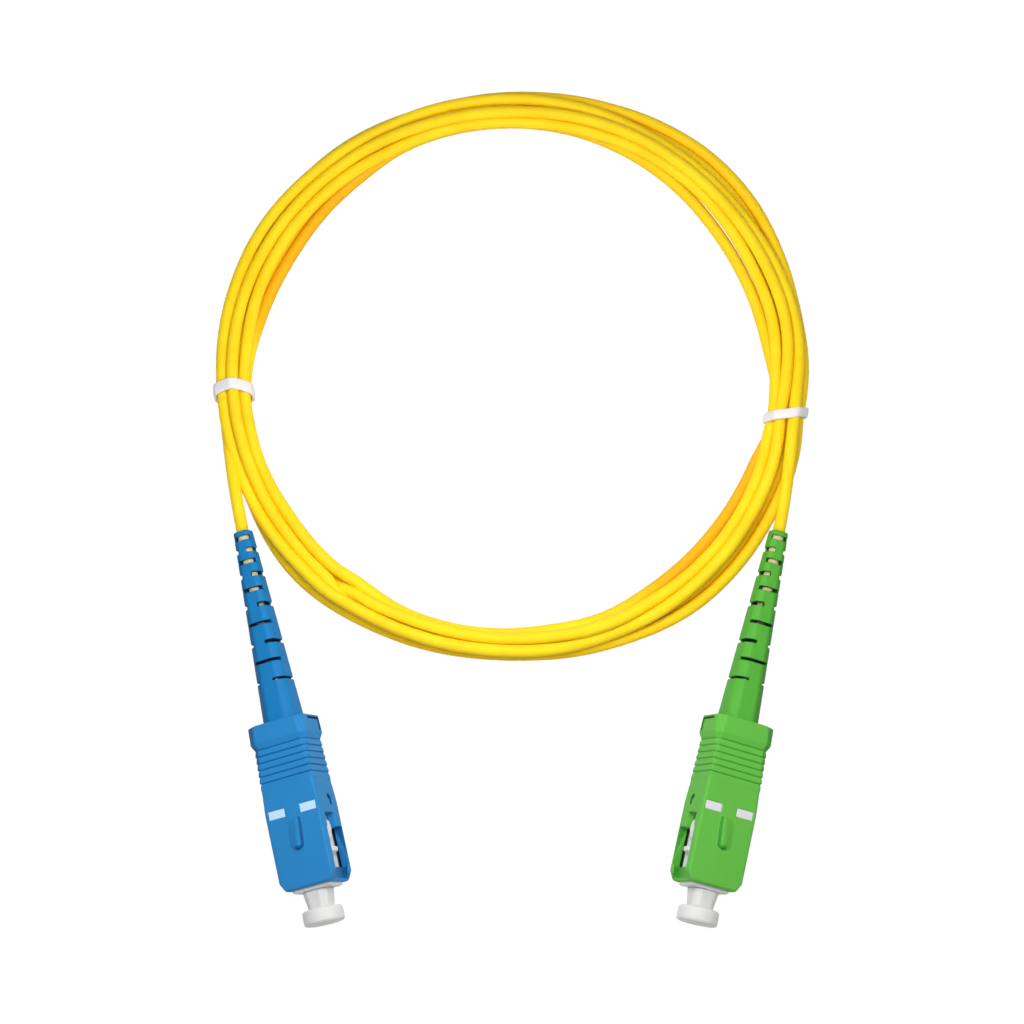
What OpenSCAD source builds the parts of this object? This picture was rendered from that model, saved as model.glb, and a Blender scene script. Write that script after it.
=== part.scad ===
// Simplex fiber optic patch cord: a 2 mm cord in a round coil, held by two ties,
// with a domed connector on its left end and an angled one on its right end.
// The origin is on the table, midway between the two connectors. +Y points to the coil.

/* [Cord] */
// Diameter of the cord's jacket
cord_d = 2.0; // [1.8:0.1:2.2]
// Wall of the jacket
jacket_wall = 0.3; // [0.2:0.05:0.4]
// Diameter of the buffered fiber inside the cord
buffer_d = 0.9; // [0.8:0.05:0.9]
// Diameter of the glass fiber
fiber_d = 0.125; // [0.12:0.005:0.125]

/* [Coil] */
// Radius of the coil at the middle of its bundle
coil_r = 45.5; // [42:0.5:50]
// Distance from the origin to the coil's centre
coil_y = 59.9; // [58:0.1:64]
// Clear gap that the turns settle at, a little over the least gap between them
turn_gap = 0.52; // [0.5:0.01:0.56]
// Whole turns; the cord then goes on from the left tie to the right one
coil_loops = 6; // [6:1:6]

/* [Ties] */
// Width of a tie's band along the cord
tie_w = 1.8; // [1.2:0.1:3]
// Thickness of a tie's band
tie_t = 0.75; // [0.5:0.05:1]
// Gap between the bundle and a tie
tie_gap = 0.1; // [0.05:0.05:0.2]
// Place of the left tie on the coil, in degrees from +X
tie_left_angle = 183; // [180:1:186]
// Place of the right tie on the coil, in degrees from +X
tie_right_angle = -8.3; // [-12:0.1:-5]

/* [Connector placement] */
// Distance of each grip's rear end from the plane between the connectors
connector_x = 36.65; // [34:0.05:40]
// Place of each grip's rear end along Y
connector_y = 0.64; // [0:0.01:2]
// Angle between each connector's axis and Y
connector_splay = 12.75; // [10:0.05:14]
// Angle that each connector is rolled about its axis as it lies on its edge
connector_roll = 22.2; // [18:0.1:26]

/* [Grip] */
// Length of the grip
grip_l = 27.05; // [26:0.05:28]
// Width of the grip across its key face
grip_w = 9.0; // [8.9:0.05:9.2]
// Height of the grip from its key face to its back
grip_h = 7.4; // [7.3:0.05:7.6]
// Length of the plain shoulder behind the ribbed band
shoulder_l = 2.9; // [2.5:0.1:3.2]
// Depth of the ribbed band below the shoulder
band_depth = 0.4; // [0.3:0.05:0.45]
// Length of each ramp into and out of the ribbed band
band_ramp = 0.95; // [0.8:0.05:1.1]
// Number of ribs
rib_count = 6; // [4:1:6]
// Distance from rib to rib
rib_pitch = 1.08; // [1:0.02:1.15]
// Height of the step at each rib
rib_step = 0.16; // [0.1:0.02:0.2]
// Length of the step at each rib
rib_edge = 0.1; // [0.05:0.05:0.15]
// Width of the long edges' chamfer at the grip's rear end
edge_chamfer = 1.0; // [0.6:0.05:1.1]
// Length over which the long edges' chamfer fades out
edge_fade_l = 14; // [12:0.5:16]
// Length of the front corners' chamfer
nose_chamfer_l = 1.5; // [1:0.1:1.8]
// Width of the front corners' chamfer
nose_chamfer_w = 0.95; // [0.6:0.05:1]
// Chamfer round the grip's rear end
rear_chamfer = 0.15; // [0.1:0.05:0.3]
// Chamfer across the front ends of the grip's wide faces
front_chamfer = 0.3; // [0.2:0.05:0.4]
// How far the grip slides back on its plug frame
grip_travel = 1.6; // [1:0.1:1.7]
// Travel that is left over when the grip is fully back
travel_spare = 0.3; // [0.2:0.05:0.4]

/* [Key and marks] */
// Width of the key ridge
key_w = 2.2; // [2:0.05:2.4]
// Height of the key ridge
key_h = 0.8; // [0.5:0.05:0.9]
// Step round the top of the key ridge
key_step = 0.2; // [0.1:0.05:0.3]
// Distance from the key's front end to the grip's front end
key_front = 6.05; // [5.5:0.05:6.5]
// Length of the key ridge
key_l = 5.9; // [5:0.1:6.5]
// Width of a white mark
mark_w = 2.8; // [2.4:0.05:2.9]
// Length of a white mark along the grip
mark_l = 1.35; // [1:0.05:1.5]
// Distance between the two white marks
mark_gap = 2.9; // [2.6:0.05:3]
// Distance from the marks' rear ends to the grip's front end
mark_front = 13.3; // [13:0.05:13.8]
// Thickness of a white mark
mark_t = 0.3; // [0.2:0.05:0.4]

/* [Side window] */
// Distance from the window to the grip's front end
window_front = 2.25; // [2:0.05:2.5]
// Length of the window
window_l = 8.7; // [8.5:0.1:9]
// Length of the window's narrow rear part
window_rear_l = 2.3; // [2:0.1:2.5]
// Distance from the axis to the window's edge beside the key face
window_top = 2.2; // [2:0.05:2.3]
// Distance from the axis to the window's other edge
window_low = 3.3; // [3.1:0.05:3.35]
// Height of the window's narrow rear part
window_rear_h = 2.25; // [2:0.05:2.5]
// How far the lip in front of the window is sunk
lip_depth = 0.5; // [0.4:0.05:0.6]
// Angle at which that lip slopes in, to lead a latch arm over it
lip_angle = 4; // [2:1:6]
// Distance from the start of the ramp in the window to the grip's front end
ramp_front = 4.85; // [4.5:0.05:5]
// Height of the ramp at the grip's front end
ramp_h = 1.3; // [1:0.1:1.5]
// Width of the ramp
ramp_w = 0.45; // [0.4:0.05:0.6]
// Radius of the crescent mark behind the window
crescent_r = 0.95; // [0.8:0.05:1.1]
// Width of the crescent mark at its middle
crescent_w = 0.42; // [0.3:0.02:0.5]
// Width of the angled groove at the grip's rear end
groove_w = 0.22; // [0.15:0.01:0.3]
// Length of that groove's leg along the grip
groove_l = 2.2; // [1.8:0.1:2.5]
// Length of that groove's leg across the side
groove_h = 4.0; // [3.5:0.1:4.5]
// Depth of the crescent and the groove
side_mark_depth = 0.25; // [0.15:0.05:0.3]

/* [Plug frame] */
// Width of the plug frame
frame_w = 6.7; // [6.5:0.05:6.8]
// Height of the plug frame
frame_h = 5.4; // [5.2:0.05:5.4]
// Clearance between the grip and the plug frame on each side
slide_gap = 0.1; // [0.06:0.01:0.12]
// How far the plug frame stands out of the grip's front end
frame_stickout = 0.55; // [0.3:0.05:0.8]
// Chamfer of the plug frame's long edges
frame_chamfer = 0.3; // [0.2:0.05:0.5]
// Diameter of the bore that holds the spring and the stop body
frame_bore = 4.2; // [4.1:0.05:4.3]
// Diameter of the hole that the ferrule passes through
web_bore = 2.9; // [2.8:0.05:3.2]
// Thickness of the web that the ferrule's flange rests on
web_t = 1.2; // [1:0.1:1.5]
// Distance from the web's rear face to the plug frame's front end
web_depth = 6.6; // [6.2:0.1:7]
// Length of a latch boss
boss_l = 1.4; // [1:0.1:1.5]
// Width of a latch boss
boss_w = 2.0; // [1.6:0.1:2.2]
// Height of a latch boss above the plug frame's side
boss_h = 1.1; // [0.9:0.05:1.15]

/* [Ferrule and flange] */
// Diameter of the ferrule
ferrule_d = 2.499; // [2.498:0.0005:2.5]
// Length of the ferrule
ferrule_l = 10.5; // [10:0.1:10.6]
// How far the ferrule stands out of the plug frame's front end
ferrule_stickout = 1.4; // [1:0.1:1.8]
// Clearance between the fiber and the ferrule's bore
fiber_gap = 0.001; // [0.0005:0.0005:0.002]
// Length of the bevel round the ferrule's tip
ferrule_bevel = 0.5; // [0.3:0.05:0.6]
// Chamfer round the ferrule's rear end
ferrule_chamfer = 0.1; // [0.05:0.05:0.15]
// Angle of the polished end on the right connector
angled_polish = 8; // [8:1:9]
// Diameter of the flange's collar
collar_d = 4.0; // [3.8:0.05:4]
// Length of the flange's collar
collar_l = 2.0; // [1.5:0.1:2.2]
// Diameter of the flange's body
flange_d = 2.9; // [2.8:0.05:2.95]
// Length of the flange's body
flange_l = 2.2; // [2:0.1:2.5]
// Diameter of the flange's rear tube
flange_tube_d = 2.2; // [1.8:0.1:2.4]
// Length of the flange's rear tube
flange_tube_l = 2.3; // [2:0.1:2.5]
// How far the ferrule gives way when it is mated
ferrule_float = 1.0; // [0.6:0.1:1]

/* [Spring] */
// Mean diameter of the spring
spring_d = 3.5; // [3.45:0.01:3.55]
// Diameter of the spring's wire
spring_wire = 0.34; // [0.3:0.01:0.4]
// Length of the space for the spring
spring_l = 9.5; // [9:0.1:10]
// Number of curls in the spring
spring_curls = 7; // [5:1:8]

/* [Stop body and crimp] */
// Clearance between the stop body and the buffered fiber
stop_clearance = 0.15; // [0.1:0.05:0.2]
// Chamfer of the stop body's front end
stop_chamfer = 0.3; // [0.2:0.05:0.4]
// Diameter of the stop body's flange
stop_flange_d = 5.2; // [5:0.05:5.3]
// Distance from the grip's rear end to the stop body's flange
stop_flange_u0 = 2.2; // [2:0.1:2.4]
// Length of the stop body's flange
stop_flange_l = 2.2; // [2:0.1:2.4]
// Diameter of the crimp neck
neck_d = 2.6; // [2.5:0.05:2.7]
// Length of the crimp neck behind the flange
neck_l = 6.8; // [6.5:0.1:7]
// Thickness of the yarn under the crimp sleeve
yarn_t = 0.18; // [0.15:0.01:0.2]
// Wall of the crimp sleeve
crimp_wall = 0.3; // [0.25:0.01:0.32]
// Length of the crimp sleeve's wide part
crimp_wide_l = 7.1; // [6.5:0.1:7.1]
// Length of the crimp sleeve's narrow part over the jacket
crimp_narrow_l = 3.5; // [3:0.1:4]
// Distance from the stop body's flange to the crimp sleeve
crimp_back = 0.4; // [0.3:0.05:0.6]
// Length of the crimp sleeve's shoulder
crimp_shoulder_l = 0.3; // [0.2:0.05:0.4]
// Clearance between pieces that are pressed or crimped together
press_gap = 0.02; // [0.01:0.01:0.03]

/* [Boot] */
// Length of the boot that stands out behind the grip
boot_l = 32.1; // [30:0.1:34]
// Width of the boot's flats at its tip
boot_tip_w = 2.7; // [2.65:0.05:3]
// Width of the boot's flats at the grip
boot_base_w = 5.3; // [5.2:0.05:5.4]
// Diameter across the boot's rounded corners at its tip
boot_tip_d = 3.1; // [3.05:0.05:3.4]
// Diameter across the boot's rounded corners at the grip
boot_base_d = 6.7; // [6.5:0.05:6.8]
// Length of the boot inside the grip
boot_inside_l = 1.2; // [0.8:0.1:1.5]
// Number of slot levels
slot_count = 10; // [8:1:10]
// Distance from the boot's tip to its first slots
slot_first = 1.2; // [1:0.1:1.5]
// Distance from the first slots to the next ones
slot_step = 2.1; // [2:0.05:2.2]
// How much each distance between slots grows
slot_growth = 0.155; // [0.12:0.005:0.16]
// Height of the slots at the boot's tip
slot_tip_h = 0.85; // [0.6:0.05:1]
// Height of the slots at the grip
slot_base_h = 0.6; // [0.4:0.05:0.8]
// Web of the boot beside each slot
slot_web = 0.55; // [0.5:0.05:0.65]
// Distance from the boot's axis to the floor of a slot
slot_floor = 0.45; // [0.3:0.05:0.6]
// Clearance between the boot and what it slides over
boot_gap = 0.08; // [0.05:0.01:0.1]

/* [Dust cap] */
// Depth of the cap's bore over the ferrule
cap_grip_l = 4.5; // [4:0.1:5]
// Clearance between the cap and the ferrule
cap_gap = 0.04; // [0.03:0.005:0.05]
// Clearance between the cap and the ferrule's end
cap_end_gap = 0.3; // [0.2:0.05:0.5]
// Diameter of the cap's spigot inside the plug frame
cap_spigot_d = 4.0; // [3.8:0.05:4]
// Diameter of the cap's stem at the plug frame
cap_stem_d = 4.65; // [4.4:0.05:4.8]
// Diameter of the cap's stem at its disc
cap_neck_d = 4.1; // [3.9:0.05:4.3]
// Width across the flats of the cap's stem
cap_flats_w = 3.9; // [3.7:0.05:4.1]
// Length of the cap's stem outside the plug frame
cap_stem_l = 2.9; // [2.5:0.05:3.2]
// Diameter of the cap's disc
cap_disc_d = 6.6; // [6.2:0.1:7]
// Thickness of the cap's disc
cap_disc_t = 2.4; // [2:0.05:2.6]
// Rounding of the cap's disc
cap_round = 0.35; // [0.2:0.05:0.5]

/* [Hidden] */

round_fn = 96;
bore_fn = 64;
cut = 0.5;              // how far a cutting shape runs past the faces that it opens

// Colours
jacket_yellow = [1.0, 0.83, 0.12];
yarn_gold = [0.93, 0.8, 0.35];
blue = [0.16, 0.5, 0.76];
green = [0.36, 0.72, 0.29];
white = [0.95, 0.95, 0.96];
cap_white = [0.91, 0.9, 0.9];
steel = [0.7, 0.71, 0.73];
brass = [0.8, 0.72, 0.5];

// Stations along a connector: u runs from the grip's rear end to the tip
axis_z = grip_w / 2 * sin(connector_roll) + grip_h / 2 * cos(connector_roll);
cavity_w = frame_w + 2 * slide_gap;
cavity_h = frame_h + 2 * slide_gap;
frame_u0 = stop_flange_u0 + stop_flange_l;
frame_u1 = grip_l + frame_stickout;
ferrule_u1 = frame_u1 + ferrule_stickout;
ferrule_u0 = ferrule_u1 - ferrule_l;
web_u0 = frame_u1 - web_depth;
window_u1 = grip_l - window_front;
window_u0 = window_u1 - window_l;
ramp_u0 = grip_l - ramp_front;
boss_u1 = window_u1 - travel_spare - grip_travel;
boss_u0 = boss_u1 - boss_l;
key_u1 = grip_l - key_front;
mark_u0 = grip_l - mark_front;
cap_u0 = ferrule_u1 - cap_grip_l;
cap_stem_u0 = frame_u1 + slide_gap / 2;
cap_disc_u0 = cap_stem_u0 + cap_stem_l;
cap_u1 = cap_disc_u0 + cap_disc_t;
collar_u0 = web_u0 - collar_l;
flange_u0 = collar_u0 - flange_l;
flange_tube_u0 = flange_u0 - flange_tube_l;
stop_u1 = collar_u0 - spring_l;
spring_u0 = stop_u1 + press_gap;
spring_u1 = collar_u0 - press_gap;
neck_u0 = stop_flange_u0 - neck_l;
crimp_u1 = stop_flange_u0 - crimp_back;
crimp_step_u = crimp_u1 - crimp_wide_l;
crimp_u0 = crimp_step_u - crimp_narrow_l;
jacket_end_u = crimp_step_u - crimp_shoulder_l / 3;
boot_tip_u = -boot_l;
boot_slope = (boot_base_w - boot_tip_w) / 2 / boot_l;
wide_bore_r = neck_d / 2 + yarn_t + crimp_wall + 3 * press_gap + boot_gap;
narrow_bore_r = cord_d / 2 + press_gap + crimp_wall + boot_gap;
jacket_bore_r = cord_d / 2 - jacket_wall;

// The bundle at a tie: one turn in the middle and six round it
turn_pitch = cord_d + turn_gap;
bundle_r = turn_pitch + cord_d / 2;
tie_r0 = bundle_r + tie_gap;
tie_r1 = tie_r0 + tie_t;
tie_z = tie_r1;

// The slots of that bundle as [outwards, up], in the order in which the turns take them:
// in along the bottom, up the inner side and out again along the top
tie_slots = turn_pitch * [[cos(30), -0.5], [0, -1], [-cos(30), -0.5], [-cos(30), 0.5],
    [0, 0], [0, 1], [cos(30), 0.5]];

// The coil's stations, half a step off the left tie, so that the cord is straight in it
coil_steps = 24;
coil_step = 360 / coil_steps;
coil_sweep = tie_left_angle - tie_right_angle;
last_station = ceil((360 * coil_loops + coil_sweep) / coil_step + 0.5);
tie_lift_angle = 28;    // how far from a tie the cord reaches the table
lane_pull = 0.06;       // share of its way back to its lane, each round
sink = 0.04;            // how far it sinks, each round
push_share = 0.45;      // share of an overlap that each of the two turns gives way
settle_rounds = 60;
function station_turn(i) = (i - 0.5) * coil_step;
function station_angle(i) = tie_left_angle - station_turn(i);

// Where the turns lie at some angles past the left tie: [angle, [[lane, layer], ...]].
// A lane counts turn pitches outwards from the bundle's middle, with an entry for each turn.
// A tie has no lanes: its turns are in the slots.
lane_zones = [
    [0, []],
    [35, [[1.6, 0], [0.5, 0], [-0.5, 0], [-1.5, 0], [-0.95, 1], [0.05, 1], [1, 1]]],
    [80, [[1.1, 0], [0.1, 0], [-0.9, 0], [-1.3, 1], [-0.4, 1], [0.2, 2], [0.7, 1]]],
    [95, [[1.1, 0], [0.1, 0], [-0.9, 0], [-1.3, 1], [-0.4, 1], [0.2, 2], [0.7, 1]]],
    [140, [[1.85, 0], [0.75, 0], [-0.35, 0], [-1.75, 0], [-0.8, 1], [0.15, 1], [1.15, 1]]],
    [coil_sweep, []],
    [228, [[1.65, 0], [0.55, 0], [-0.5, 0], [-1.6, 0], [-0.3, 1], [0.6, 1]]],
    [272, [[0.95, 0], [0, 0], [-0.95, 0], [-1, 1], [-0.05, 1], [0.9, 1]]],
    [322, [[0.6, 0], [-0.4, 0], [-1.45, 0], [-0.9, 1], [0.2, 1], [1.4, 0]]],
    [360, []]];

// The place across the bundle, as [outwards, up], of turn k in a zone
function zone_place(z, k) =
    let (lanes = lane_zones[z][1], next = z == len(lane_zones) - 1 ? k + 1 : k)
    len(lanes) == 0 ? tie_slots[min(next, 6)] + [0, tie_z]
        : let (lane = lanes[min(k, len(lanes) - 1)])
            [lane.x * turn_pitch, cord_d / 2 + sin(60) * lane.y * turn_pitch];
function smooth(w) = w * w * (3 - 2 * w);
function first_place(i) =
    let (
        turn = station_turn(max(i, 1)),
        k = floor(turn / 360),
        a = turn - 360 * k,
        z = max([for (j = [0:len(lane_zones) - 2]) if (lane_zones[j][0] <= a) j]),
        w = smooth((a - lane_zones[z][0]) / (lane_zones[z + 1][0] - lane_zones[z][0]))
    )
    held(i) ? tie_slots[min(held_turn(i), 6)] + [0, tie_z]
        : (1 - w) * zone_place(z, k) + w * zone_place(z + 1, k);
// The stations on both sides of a tie are held in its slots
function past_tie(i) = let (a = (station_turn(i) + 360) % 360)
    min(abs(a), abs(a - 360), abs(a - coil_sweep));
function held_turn(i) = floor((station_turn(i) + coil_step) / 360);
function held(i) = i == 0 || i == last_station
    || (station_turn(i) + coil_step) % 360 < 2 * coil_step
    || abs((station_turn(i) % 360) - coil_sweep) < coil_step;
// Lowest height of the cord's middle: on the table, but lifted near the ties
function lowest(i) = let (w = smooth(min(1, past_tie(i) / tie_lift_angle)))
    w * cord_d / 2 + (1 - w) * (tie_z - turn_pitch);

// The turns settle round their lanes: each place is drawn to its neighbours along the cord,
// sinks a little, and is pushed off the other turns at its own station
function total(v) = [for (x = v) 1] * v;
function eased(p, start) = [for (i = [0:last_station])
    held(i) ? p[i]
        : p[i] + 0.5 * ((p[i - 1] + p[i + 1]) / 2 - p[i])
            + [lane_pull * (start[i].x - p[i].x), -sink]];
function pushed(p) = [for (i = [0:last_station])
    held(i) ? p[i]
        : let (
            push = total([for (j = [i % coil_steps:coil_steps:last_station])
                let (d = p[i] - p[j], r = norm(d))
                j == i || r >= turn_pitch ? [0, 0] : d / r * (turn_pitch - r)]),
            q = p[i] + push_share * push
        )
        [q.x, max(q.y, lowest(i))]];
function settled(p, start, n) =
    n == 0 ? p : settled(pushed(pushed(eased(p, start))), start, n - 1);

// A point of the coil, from its angle and its place across the bundle
function coil_point(angle, place) =
    [(coil_r + place.x) * cos(angle), coil_y + (coil_r + place.x) * sin(angle), place.y];

// At a tie the cord runs straight from station to station: the middle of that chord,
// the way along it, and a point on it for a slot, some way past the tie
function chord_turn(tie_turn) = coil_step * round(tie_turn / coil_step);
function chord_way(tie_turn) = let (a = tie_left_angle - chord_turn(tie_turn))
    [sin(a), -cos(a), 0];
function chord_point(tie_turn, place, along) =
    let (
        a = tie_left_angle - chord_turn(tie_turn),
        r = (coil_r + place.x) * cos(coil_step / 2),
        past = coil_r * cos(coil_step / 2) * tan(tie_turn - chord_turn(tie_turn)) + along
    )
    [r * cos(a), coil_y + r * sin(a), place.y] + past * chord_way(tie_turn);

// The coil's ends run a little past the ties, still straight
coil_end_l = tie_w / 2 + 1.35 * cord_d;
tail_a_start = chord_point(0, tie_slots[0] + [0, tie_z], -coil_end_l);
tail_b_start = chord_point(coil_sweep, tie_slots[6] + [0, tie_z], coil_end_l);

// The coil's whole middle line, with its ends cut short on the ties' chords
function coil_line() =
    let (
        start = [for (i = [0:last_station]) first_place(i)],
        places = settled(start, start, settle_rounds)
    )
    concat([tail_a_start],
        [for (i = [1:last_station - 1]) coil_point(station_angle(i), places[i])],
        [tail_b_start]);

// The least clear gap between two turns, from each point to the stretches of other turns
function from_stretch(p, a, b) =
    let (t = max(0, min(1, (p - a) * (b - a) / ((b - a) * (b - a))))) norm(p - a - t * (b - a));
function least_gap(line) =
    min([for (i = [0:len(line) - 2], j = [0:len(line) - 1])
        if (abs(i - j) > coil_steps / 2) from_stretch(line[j], line[i], line[i + 1])]) - cord_d;

// A boot's tip, on the left, and the way that the cord runs into it
plug_way = [sin(connector_splay), -cos(connector_splay), 0];
boot_tip = [-connector_x, connector_y, axis_z] + boot_tip_u * plug_way;
function mirrored(p) = [-p.x, p.y, p.z];

// The tails' own points between the coil and the boots
tail_a_points = [[-46.8, 48.5, 2.9], [-46.1, 44, 3.3], [-45.1, 38.5, 4.3]];
tail_b_points = [[46.0, 44.5, 5.5], [45.2, 40.5, 5.3], [44.5, 36.7, 5.1]];

tail_a_route = concat(
    [tail_a_start, tail_a_start - cord_d * chord_way(0)],
    tail_a_points,
    [boot_tip - cord_d * plug_way, boot_tip]);
tail_b_route = concat(
    [tail_b_start, tail_b_start + cord_d * chord_way(coil_sweep)],
    tail_b_points,
    [mirrored(boot_tip - cord_d * plug_way), mirrored(boot_tip)]);

// One closed tube along a list of points, as a single polyhedron.
// Each ring stands square to the way from its last point to its next one.
function unit(v) = v / norm(v);
function way_at(p, i) = unit(p[min(i + 1, len(p) - 1)] - p[max(i - 1, 0)]);
function ring_at(p, i, r, sides) =
    let (w = way_at(p, i), across = unit(cross(w, [0, 0, 1])), up = cross(across, w))
    [for (k = [0:sides - 1]) let (a = 360 * (k + 0.5) / sides)
        p[i] + r * (cos(a) * across + sin(a) * up)];

module swept_tube(p, r, sides) {
    rings = len(p);
    tube_skin([for (i = [0:rings - 1]) ring_at(p, i, r, sides)], p[0], p[rings - 1], sides);
}

// The skin over a list of rings, closed at each end round a middle point
module tube_skin(rings, first, end, sides) {
    count = len(rings);
    points = concat([for (ring = rings) each ring], [first, end]);
    wall = [for (i = [0:count - 2], k = [0:sides - 1])
        let (a = i * sides + k, b = i * sides + (k + 1) % sides)
        each [[a, b, b + sides], [a, b + sides, a + sides]]];
    start_cap = [for (k = [0:sides - 1]) [count * sides, (k + 1) % sides, k]];
    last = (count - 1) * sides;
    end_cap = [for (k = [0:sides - 1]) [count * sides + 1, last + k, last + (k + 1) % sides]];
    polyhedron(points, concat(wall, start_cap, end_cap));
}

// Places a shape of one connector. Its own x runs to the tip, z points out of the key face.
module at_a() {
    translate([-connector_x, connector_y, axis_z])
        rotate([0, 0, connector_splay - 90])
            rotate([connector_roll, 0, 0])
                children();
}
module at_b() {
    mirror([1, 0, 0]) at_a() children();
}

// A turned shape along a connector's axis, from a closed list of [radius, u]
module turned(profile, fn) {
    rotate([0, 90, 0]) rotate_extrude($fn = fn) polygon(profile);
}
module rod(d, u0, u1, fn) {
    translate([u0, 0, 0]) rotate([0, 90, 0]) cylinder(d = d, h = u1 - u0, $fn = fn);
}
module sleeve(d1, d0, u0, u1, fn) {
    difference() {
        rod(d1, u0, u1, fn);
        rod(d0, u0 - cut, u1 + cut, fn);
    }
}
// A box centred on the axis, between two stations
module block(u0, u1, w, h) {
    translate([u0, -w / 2, -h / 2]) cube([u1 - u0, w, h]);
}

// ---- cord ----

module cord_coil() {
    line = coil_line();
    echo(str("Least gap between the coil's turns: ", least_gap(line), " mm"));
    color(jacket_yellow) swept_tube(line, cord_d / 2, 6);
}

module cord_tail_a() {
    color(jacket_yellow) swept_tube(tail_a_route, cord_d / 2, 8);
}

module cord_tail_b() {
    color(jacket_yellow) swept_tube(tail_b_route, cord_d / 2, 8);
}

// ---- ties ----

module tie(tie_turn) {
    color(white)
        translate(chord_point(tie_turn, [0, tie_z], 0))
            rotate([0, 0, tie_left_angle - chord_turn(tie_turn)])
                rotate([90, 0, 0])
                    difference() {
                        cylinder(r = tie_r1, h = tie_w, center = true, $fn = round_fn);
                        cylinder(r = tie_r0, h = tie_w + 2 * cut, center = true, $fn = round_fn);
                    }
}

// ---- grip ----

// One half of the grip's outline from a station's half width: shoulder, ribbed band, front
function grip_outline(half, nose_l, nose_w) =
    let (
        band0 = shoulder_l + band_ramp,
        low = half - band_depth,
        band1 = band0 + rib_count * rib_pitch,
        ribs = [for (i = [0:rib_count - 1]) let (u = band0 + i * rib_pitch)
            each [[u, low - rib_step], [u + rib_pitch - rib_edge, low]]]
    )
    concat(
        [[0, half - rear_chamfer], [rear_chamfer, half], [shoulder_l, half],
         [band0 - rib_edge, low]],
        ribs,
        [[band1, low - rib_step], [band1 + rib_edge, low],
         [band1 + rib_edge + band_ramp, half],
         [grip_l - nose_l, half], [grip_l, half - nose_w]]);

function both_sides(half_outline) = concat(half_outline,
    [for (i = [len(half_outline) - 1:-1:0]) [half_outline[i].x, -half_outline[i].y]]);

// A cut that takes the grip's long edge off, full at the rear end and fading to nothing
module edge_cut() {
    depth = edge_chamfer / sqrt(2);
    size = 3 * edge_chamfer;
    translate([0, grip_w / 2, grip_h / 2])
        rotate([-45, 0, 0])
            translate([0, 0, -depth])
                rotate([0, -atan(depth / edge_fade_l), 0])
                    translate([-cut, -size, 0])
                        cube([edge_fade_l + cut, 2 * size, size]);
}

// The latch opening in the grip's side: a window with a narrow rear part, a ramp along its
// low edge, and the sunk lip in front of it
module side_opening() {
    side = grip_w / 2;
    depth_y = cavity_w / 2 - cut;
    window_h = window_top + window_low;
    translate([window_u0, depth_y, window_top - window_rear_h])
        cube([window_rear_l + cut, grip_w, window_rear_h]);
    difference() {
        union() {
            translate([window_u0 + window_rear_l, depth_y, -window_low])
                cube([window_l - window_rear_l, grip_w, window_h]);
            translate([window_u1 - cut, side - lip_depth, -window_low])
                rotate([0, 0, -lip_angle])
                    cube([window_front + 2 * cut, grip_w, window_h]);
        }
        translate([0, side, -window_low])
            rotate([90, 0, 0])
                linear_extrude(ramp_w)
                    polygon([[ramp_u0, -cut], [ramp_u0, 0], [grip_l, ramp_h],
                        [grip_l + 2 * cut, ramp_h], [grip_l + 2 * cut, -cut]]);
    }
}

// The crescent mark and the angled groove on the grip's side
module side_marks() {
    y0 = grip_w / 2 - side_mark_depth;
    translate([mark_u0 + crescent_w, y0, 0])
        rotate([-90, 0, 0])
            difference() {
                translate([0, crescent_r, 0])
                    cylinder(r = crescent_r, h = 2 * side_mark_depth, $fn = bore_fn);
                translate([0, crescent_r - crescent_w, -cut])
                    cylinder(r = crescent_r, h = 2 * side_mark_depth + 2 * cut, $fn = bore_fn);
            }
    groove_u0 = rear_chamfer + groove_w;
    groove_z0 = edge_chamfer - grip_h / 2;
    translate([groove_u0, y0, groove_z0]) cube([groove_w, grip_w, groove_h]);
    translate([groove_u0, y0, groove_z0]) cube([groove_l, grip_w, groove_w]);
}

module grip(tint) {
    color(tint)
        difference() {
            union() {
                intersection() {
                    translate([0, 0, -grip_h])
                        linear_extrude(2 * grip_h)
                            polygon(both_sides(
                                grip_outline(grip_w / 2, nose_chamfer_l, nose_chamfer_w)));
                    rotate([90, 0, 0])
                        translate([0, 0, -grip_w])
                            linear_extrude(2 * grip_w)
                                polygon(both_sides(
                                    grip_outline(grip_h / 2, front_chamfer, front_chamfer)));
                }
                key();
            }
            for (a = [0, 1], b = [0, 1])
                mirror([0, a, 0]) mirror([0, 0, b]) edge_cut();
            block(-cut, grip_l + cut, cavity_w, cavity_h);
            for (a = [0, 1]) mirror([0, a, 0]) {
                side_opening();
                side_marks();
            }
            mark_boxes(press_gap);
        }
}

// The key ridge, with a round front end and a step round its top
module key() {
    key_layer(0, key_h - key_step);
    key_layer(key_step, key_h);
}
module key_layer(inset, height) {
    round_u = key_u1 - key_w / 2;
    translate([0, 0, grip_h / 2 - cut])
        linear_extrude(cut + height) {
            translate([key_u1 - key_l + inset, inset - key_w / 2])
                square([round_u - key_u1 + key_l - inset, key_w - 2 * inset]);
            translate([round_u, 0]) circle(d = key_w - 2 * inset, $fn = bore_fn);
        }
}

// The two marks' boxes, wider by a gap where they cut their recesses
module mark_boxes(gap) {
    for (s = [-1, 1])
        translate([mark_u0 - gap, s * (mark_gap + mark_w) / 2 - mark_w / 2 - gap,
                grip_h / 2 - mark_t - gap])
            cube([mark_l + 2 * gap, mark_w + 2 * gap, mark_t + gap + (gap > 0 ? cut : 0)]);
}

module grip_marks() {
    color(white) mark_boxes(0);
}

// ---- plug frame ----

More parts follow.
